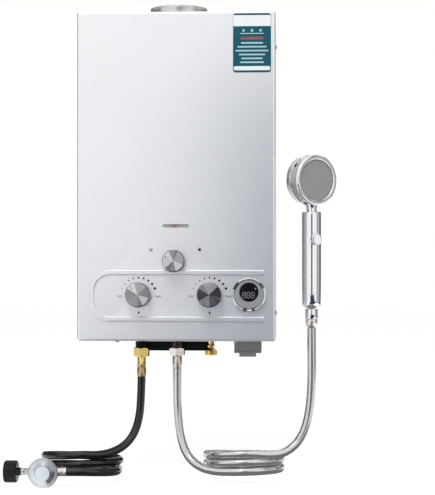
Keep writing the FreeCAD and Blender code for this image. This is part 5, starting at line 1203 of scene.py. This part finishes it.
turned_piece("regulator_zinc_stem", [
    (0, 0), (6.2, 0), (6.2, 1.0), (5.4, 1.6), (5.4, 9.6), (5.0, 10.2), (5.4, 10.8), (5.4, 15.3),
    (6.0, 15.3), (6.0, 20.9), (4.6, 21.2), (4.6, 38.0), (4.2, 38.5), (0, 38.5)],
    STEM, TO_LEFT, "zinc", replaces="regulator_stem")
turned_piece("regulator_stem_collar", [
    (6.02, 15.3), (6.3, 15.3), (6.4, 15.6), (6.4, 17.6), (6.15, 18.0), (6.4, 18.4), (6.4, 20.6),
    (6.3, 20.9), (6.02, 20.9), (6.02, 15.3)], STEM, TO_LEFT, "black_plastic", slot="zinc")
rounded_copy("cylinder_hand_nut", "tank_hand_nut", "black_plastic", 0.7, angle=35,
             body="tank_hand_nut", sharp=50)

# %% [markdown]

# %% [markdown]
# ## Cutting tool
#
# A round recess in the side of a turned part is milled in a workshop. The Boolean modifier does
# the same: the part and a cutter go in, and the mesh without the cutter's room comes out. It is
# read back at once, so no modifier and no helper object stays in the scene.

# %% Mill one form out of another


def milled(form, cutter):
    """Takes the room of one closed form out of another."""
    parts = []
    for shape in (form, cutter):
        mesh = bpy.data.meshes.new("milling")
        shape.to_mesh(mesh)
        shape.free()
        part = bpy.data.objects.new("milling", mesh)
        bpy.context.scene.collection.objects.link(part)
        parts.append(part)
    cut = parts[0].modifiers.new("cut", "BOOLEAN")
    cut.operation = "DIFFERENCE"
    cut.solver = "EXACT"
    cut.object = parts[1]
    done = bmesh.new()
    done.from_object(parts[0], bpy.context.evaluated_depsgraph_get())
    for part in parts:
        mesh = part.data
        bpy.data.objects.remove(part)
        bpy.data.meshes.remove(mesh)
    return done


# %% [markdown]
# ## Hand shower
#
# The handle is a chromed tube in three sections, with a fine seam at each joint and a round
# recess for the stop button. The nut and the cone below it are turned as well.

# %% Handle, button, nut and cone
HANDLE = (HANDLE_X, HANDLE_Y, 0)
BUTTON_LEVEL, BUTTON_YAW = -335.5, 30.0
form = lathe([
    (0, -456), (7.0, -456), (7.0, -449.3), (9.2, -449.2), (10.2, -448.5), (11.8, -447.4),
    (13.3, -445.6), (14.3, -443.4), (14.8, -440.5), (15.0, -436), (15.3, -420), (15.5, -396),
    (15.5, -355.3), (15.2, -355.1), (15.2, -354.9), (15.5, -354.7), (15.5, -336), (15.5, -319.3),
    (15.2, -319.1), (15.2, -318.9), (15.5, -318.7), (15.5, -294.0), (15.35, -292.6),
    (14.9, -291.5), (14.2, -290.8), (13.3, -290.5), (9.4, -290.5), (9.0, -290.8), (8.8, -292),
    (8.8, -306), (0, -306)])
cutter = settle(lathe([(0, 8.5), (9.75, 8.5), (9.75, 20), (0, 20)], 64), (0, 0, BUTTON_LEVEL),
                swung_front(BUTTON_YAW))
form = settle(turning(milled(form, cutter)), HANDLE)
finish_piece("handset_handle", form, "handset_chrome", replaces="handle_body", sharp=30)

form = lathe([(0, 12.1), (9.5, 12.1), (9.5, 16.1), (9.35, 16.7), (8.95, 17.05), (8.3, 17.1),
              (7.9, 17.0), (7.6, 16.75), (7.2, 16.7), (4.0, 16.78), (0, 16.8)], 64)
for level, width in ((-2.2, 4.4), (0, 5.6), (2.2, 4.4)):
    add_block(form, (0, level, 16.85), (width, 0.7, 0.4))
settle(turning(form), (HANDLE_X, HANDLE_Y, BUTTON_LEVEL), swung_front(BUTTON_YAW))
finish_piece("handset_stop_button", form, "handset_chrome", body="stop_button",
             replaces="stop_button", sharp=30)

turned_piece("handset_nut", [
    (7.2, -465.2), (9.5, -465.2), (9.9, -464.9), (10.0, -464.4), (10.0, -449.8), (9.9, -449.3),
    (9.5, -449.0), (7.2, -449.0), (7.2, -465.2)], HANDLE, None, "handset_chrome",
    replaces="handle_nut")
turned_piece("shower_hose_end_cone", [
    (6.9, -479.5), (7.3, -479.4), (7.9, -478.6), (8.6, -476.4), (9.15, -473.4), (9.45, -470),
    (9.5, -467), (9.4, -466.0), (9.0, -465.6), (6.9, -465.5), (6.9, -479.5)], HANDLE, None,
    "bright_nickel", replaces="shower_hose_cone")

# %% [markdown]
# The head looks to the front and the right. It has a domed shell, a deep groove with a window on
# each side of its top, a ring that bulges out at its front and a grey spray face inside the
# ring. Behind each window the small fan turns when water runs.

# %% Shower head
HEAD = (HANDLE_X, HANDLE_Y, HEAD_LEVEL)
FACE_WAY = swung_front(HEAD_YAW)
HEAD_STEPS, WINDOW_ANGLE = 120, 35.5
BACK_ROUND = [(32.5 + 9 * math.sin(math.radians(angle)), -10 - 9 * math.cos(math.radians(angle)))
              for angle in range(0, 91, 10)]
form = lathe([
    (0, -19.6), (20, -19.4), *BACK_ROUND, (41.5, -3.0), (41.35, -2.4), (40.9, -2.0), (37.2, -2.0),
    (36.7, -1.8), (36.5, -1.3), (36.5, 8.0), (34.0, 8.0), (34.0, -1.2), (5.5, -1.2), (5.5, -0.8),
    (0, -0.8)], HEAD_STEPS)
for side in (-1, 1):
    cutter = bmesh.new()
    add_block(cutter, (0, 35, 3.0), (20.7, 12, 8.0), side * WINDOW_ANGLE)
    form = milled(form, soften(cutter, 1.2, 3))
for face in form.faces:
    middle = face.calc_center_median()
    if 36 * MM < middle.xy.length < 37 * MM and -1.9 * MM < middle.z < 8 * MM:
        face.material_index = 1
settle(turning(form), HEAD, FACE_WAY)
neck = lathe([(0, -305), (8.0, -305), (8.2, -304), (8.2, -288), (8.3, -284), (8.8, -280),
              (9.8, -276.5), (9.8, -272), (0, -272)], 64)
add_form(form, turning(neck), HANDLE)
finish_piece("handset_head_shell", form, "handset_chrome", "chamber_grey", body="shower_head",
             replaces="head_shell", sharp=30)

turned_piece("handset_head_ring", [
    (33.5, 8.2), (38.6, 8.0), (39.3, 8.2), (40.6, 9.2), (41.3, 10.2), (41.5, 11.2), (41.5, 12.2),
    (41.4, 12.9), (41.0, 13.6), (40.3, 14.4), (39.4, 15.0), (38.0, 15.3), (36.0, 15.3),
    (34.6, 15.0), (33.9, 14.7), (33.5, 14.2), (33.5, 8.2)], HEAD, FACE_WAY, "handset_chrome",
    steps=HEAD_STEPS, body="shower_head", replaces="head_ring")
turned_piece("handset_spray_face", [
    (0, 11.5), (33.4, 11.5), (33.4, 12.6), (33.1, 13.1), (32.4, 13.4), (31.6, 13.3), (31.0, 13.3),
    (16, 13.8), (0, 14.0)], HEAD, FACE_WAY, "spray_grey", steps=HEAD_STEPS, body="shower_head",
    replaces="spray_plate")
rounded_copy("handset_turbine", "turbine_fan", "fan_plastic", 0.25, angle=50,
             body="turbine_fan", sharp=50)

# %% [markdown]
# ## Floor, world and lights
#
# Metal shows its surroundings, so a plain studio needs something for it to show. The world is
# white to the camera and to mirrors, and a good deal dimmer as a light. The floor glows where it
# is looked at, so it ends as white as the world and still takes a soft shadow.

# %% Floor
GLOW_STRENGTH, GLOW_SHARE = 1.22, 0.75


def flat_sheet(name, width, depth, place, turn=None):
    """A plain sheet of the studio, which is no piece of the heater."""
    form = bmesh.new()
    bmesh.ops.create_grid(form, x_segments=1, y_segments=1, size=0.5)
    bmesh.ops.scale(form, verts=form.verts, vec=(width, depth, 1))
    if turn is not None:
        bmesh.ops.rotate(form, verts=form.verts, cent=(0, 0, 0), matrix=turn)
    bmesh.ops.translate(form, verts=form.verts, vec=place)
    mesh = bpy.data.meshes.new(name)
    form.to_mesh(mesh)
    form.free()
    sheet = bpy.data.objects.new(name, mesh)
    bpy.context.scene.collection.objects.link(sheet)
    return sheet


tree, shader = new_finish("studio_floor", Base_Color=colour(0.9, 0.9, 0.9), Roughness=0.9)
glow = add_node(tree, "Emission", Color=colour(1, 1, 1), Strength=GLOW_STRENGTH)
rays = add_node(tree, "LightPath")
seen = maths(tree, "MAXIMUM", rays.outputs["Is Camera Ray"], rays.outputs["Is Glossy Ray"])
mix = add_node(tree, "MixShader", Fac=maths(tree, "MULTIPLY", seen, GLOW_SHARE))
put(mix, "1", shader.outputs[0])
put(mix, "2", glow.outputs[0])
put(tree.nodes["Material Output"], "Surface", mix.outputs[0])
floor = flat_sheet("studio_floor", 12, 12, (0, 0, (FLOOR_LEVEL - 0.3) * MM))
floor.data.materials.append(finishes["studio_floor"])

# %% World
WORLD_LIGHT = 0.24
world = bpy.data.worlds.new("studio_world")
bpy.context.scene.world = world
world.use_nodes = True
tree = world.node_tree
rays = add_node(tree, "LightPath")
seen = maths(tree, "MAXIMUM", rays.outputs["Is Camera Ray"], rays.outputs["Is Transmission Ray"])
seen = maths(tree, "MAXIMUM", seen, rays.outputs["Is Glossy Ray"])
put(tree.nodes["Background"], "Strength", between(tree, seen, WORLD_LIGHT, 1.0))
put(tree.nodes["Background"], "Color", colour(1, 1, 1))
print("the world gives", WORLD_LIGHT, "of its brightness as light")

# %% [markdown]
# One large soft lamp hangs above the front and a weaker one stands at the right. Both hide from
# mirrors, where their hard outlines would show, and a bright card above stands in for them. More
# cards that only mirrors see give the chrome and the steel their dark and grey edges: they stand
# in front, at the sides and behind, and two lie on the floor. They hide from the camera, from
# the diffuse light and from the shadows.

# %% Lamps and mirror cards


def aimed(place, aim, axis):
    """The turn that points an axis from a place to what it aims at."""
    return (Vector(aim) - Vector(place)).to_track_quat(axis, "Y")


def soft_lamp(name, place, aim, size, power):
    data = bpy.data.lights.new(name, "AREA")
    data.shape = "RECTANGLE"
    data.size, data.size_y = size
    data.energy = power
    lamp = bpy.data.objects.new(name, data)
    lamp.location = place
    lamp.rotation_euler = aimed(place, aim, "-Z").to_euler()
    lamp.visible_glossy = False
    bpy.context.scene.collection.objects.link(lamp)


def mirror_card(name, place, aim, size, tint, glow=1.0):
    """A card that is seen only in mirrors."""
    tree, _ = new_finish(name)
    light = add_node(tree, "Emission", Color=colour(*tint), Strength=glow)
    put(tree.nodes["Material Output"], "Surface", light.outputs[0])
    card = flat_sheet(name, *size, place, aimed(place, aim, "Z").to_matrix())
    card.data.materials.append(finishes[name])
    card.visible_camera = card.visible_diffuse = False
    card.visible_shadow = card.visible_transmission = False


DARK_BLUE, DARK, GREY = (0.03, 0.05, 0.12), (0.02, 0.02, 0.022), (0.16, 0.16, 0.165)
soft_lamp("key_lamp", (-0.35, -1.5, 1.55), (0, -0.14, -0.35), (1.0, 1.0), 52)
soft_lamp("fill_lamp", (1.7, -0.5, 0.1), (0.2, -0.1, -0.35), (0.8, 1.8), 6)
mirror_card("card_front", (0.32, -2.5, -0.32), (0.32, 0, -0.32), (0.64, 1.10), DARK_BLUE)
mirror_card("card_floor_front", (0.85, -2.5, -0.726), (0.85, -2.5, 0), (2.6, 2.8),
            (0.05, 0.06, 0.09))
mirror_card("card_low_front", (0.42, -1.6, -0.635), (0.42, 0, -0.635), (1.25, 0.19), DARK_BLUE)
mirror_card("card_floor_under", (0.18, -0.50, -0.7285), (0.18, -0.50, 0), (0.76, 0.95),
            (0.22, 0.22, 0.225))
mirror_card("card_right", (1.9, -0.35, -0.3), (0.16, -0.14, -0.3), (1.1, 2.6),
            (0.42, 0.42, 0.425))
mirror_card("card_above", (-0.35, -1.5, 1.5), (0, -0.14, -0.5), (0.9, 0.6), (1, 1, 1), 3.0)
mirror_card("card_high_left", (-1.3, -0.25, 0.95), (0, -0.14, -0.4), (0.55, 0.55), DARK)
mirror_card("card_high_right", (1.4, -0.25, 0.85), (0, -0.14, -0.4), (0.55, 0.55), DARK)
mirror_card("card_left", (-2.1, 0.0, -0.3), (0.1, -0.1, -0.3), (1.4, 3.0), GREY)
mirror_card("card_back_left", (-1.5, 1.2, -0.3), (0.0, -0.1, -0.3), (1.4, 2.4), GREY)
mirror_card("card_behind_left", (-0.65, 1.6, -0.3), (-0.65, 0, -0.3), (0.9, 2.4), DARK)
mirror_card("card_back_right", (1.6, 0.9, -0.3), (0.2, -0.1, -0.3), (1.4, 2.4), GREY)
mirror_card("card_behind_right", (0.70, 1.6, -0.3), (0.70, 0, -0.3), (1.0, 2.4), DARK)
print("mirror cards:", sum(name.startswith("card_") for name in finishes))
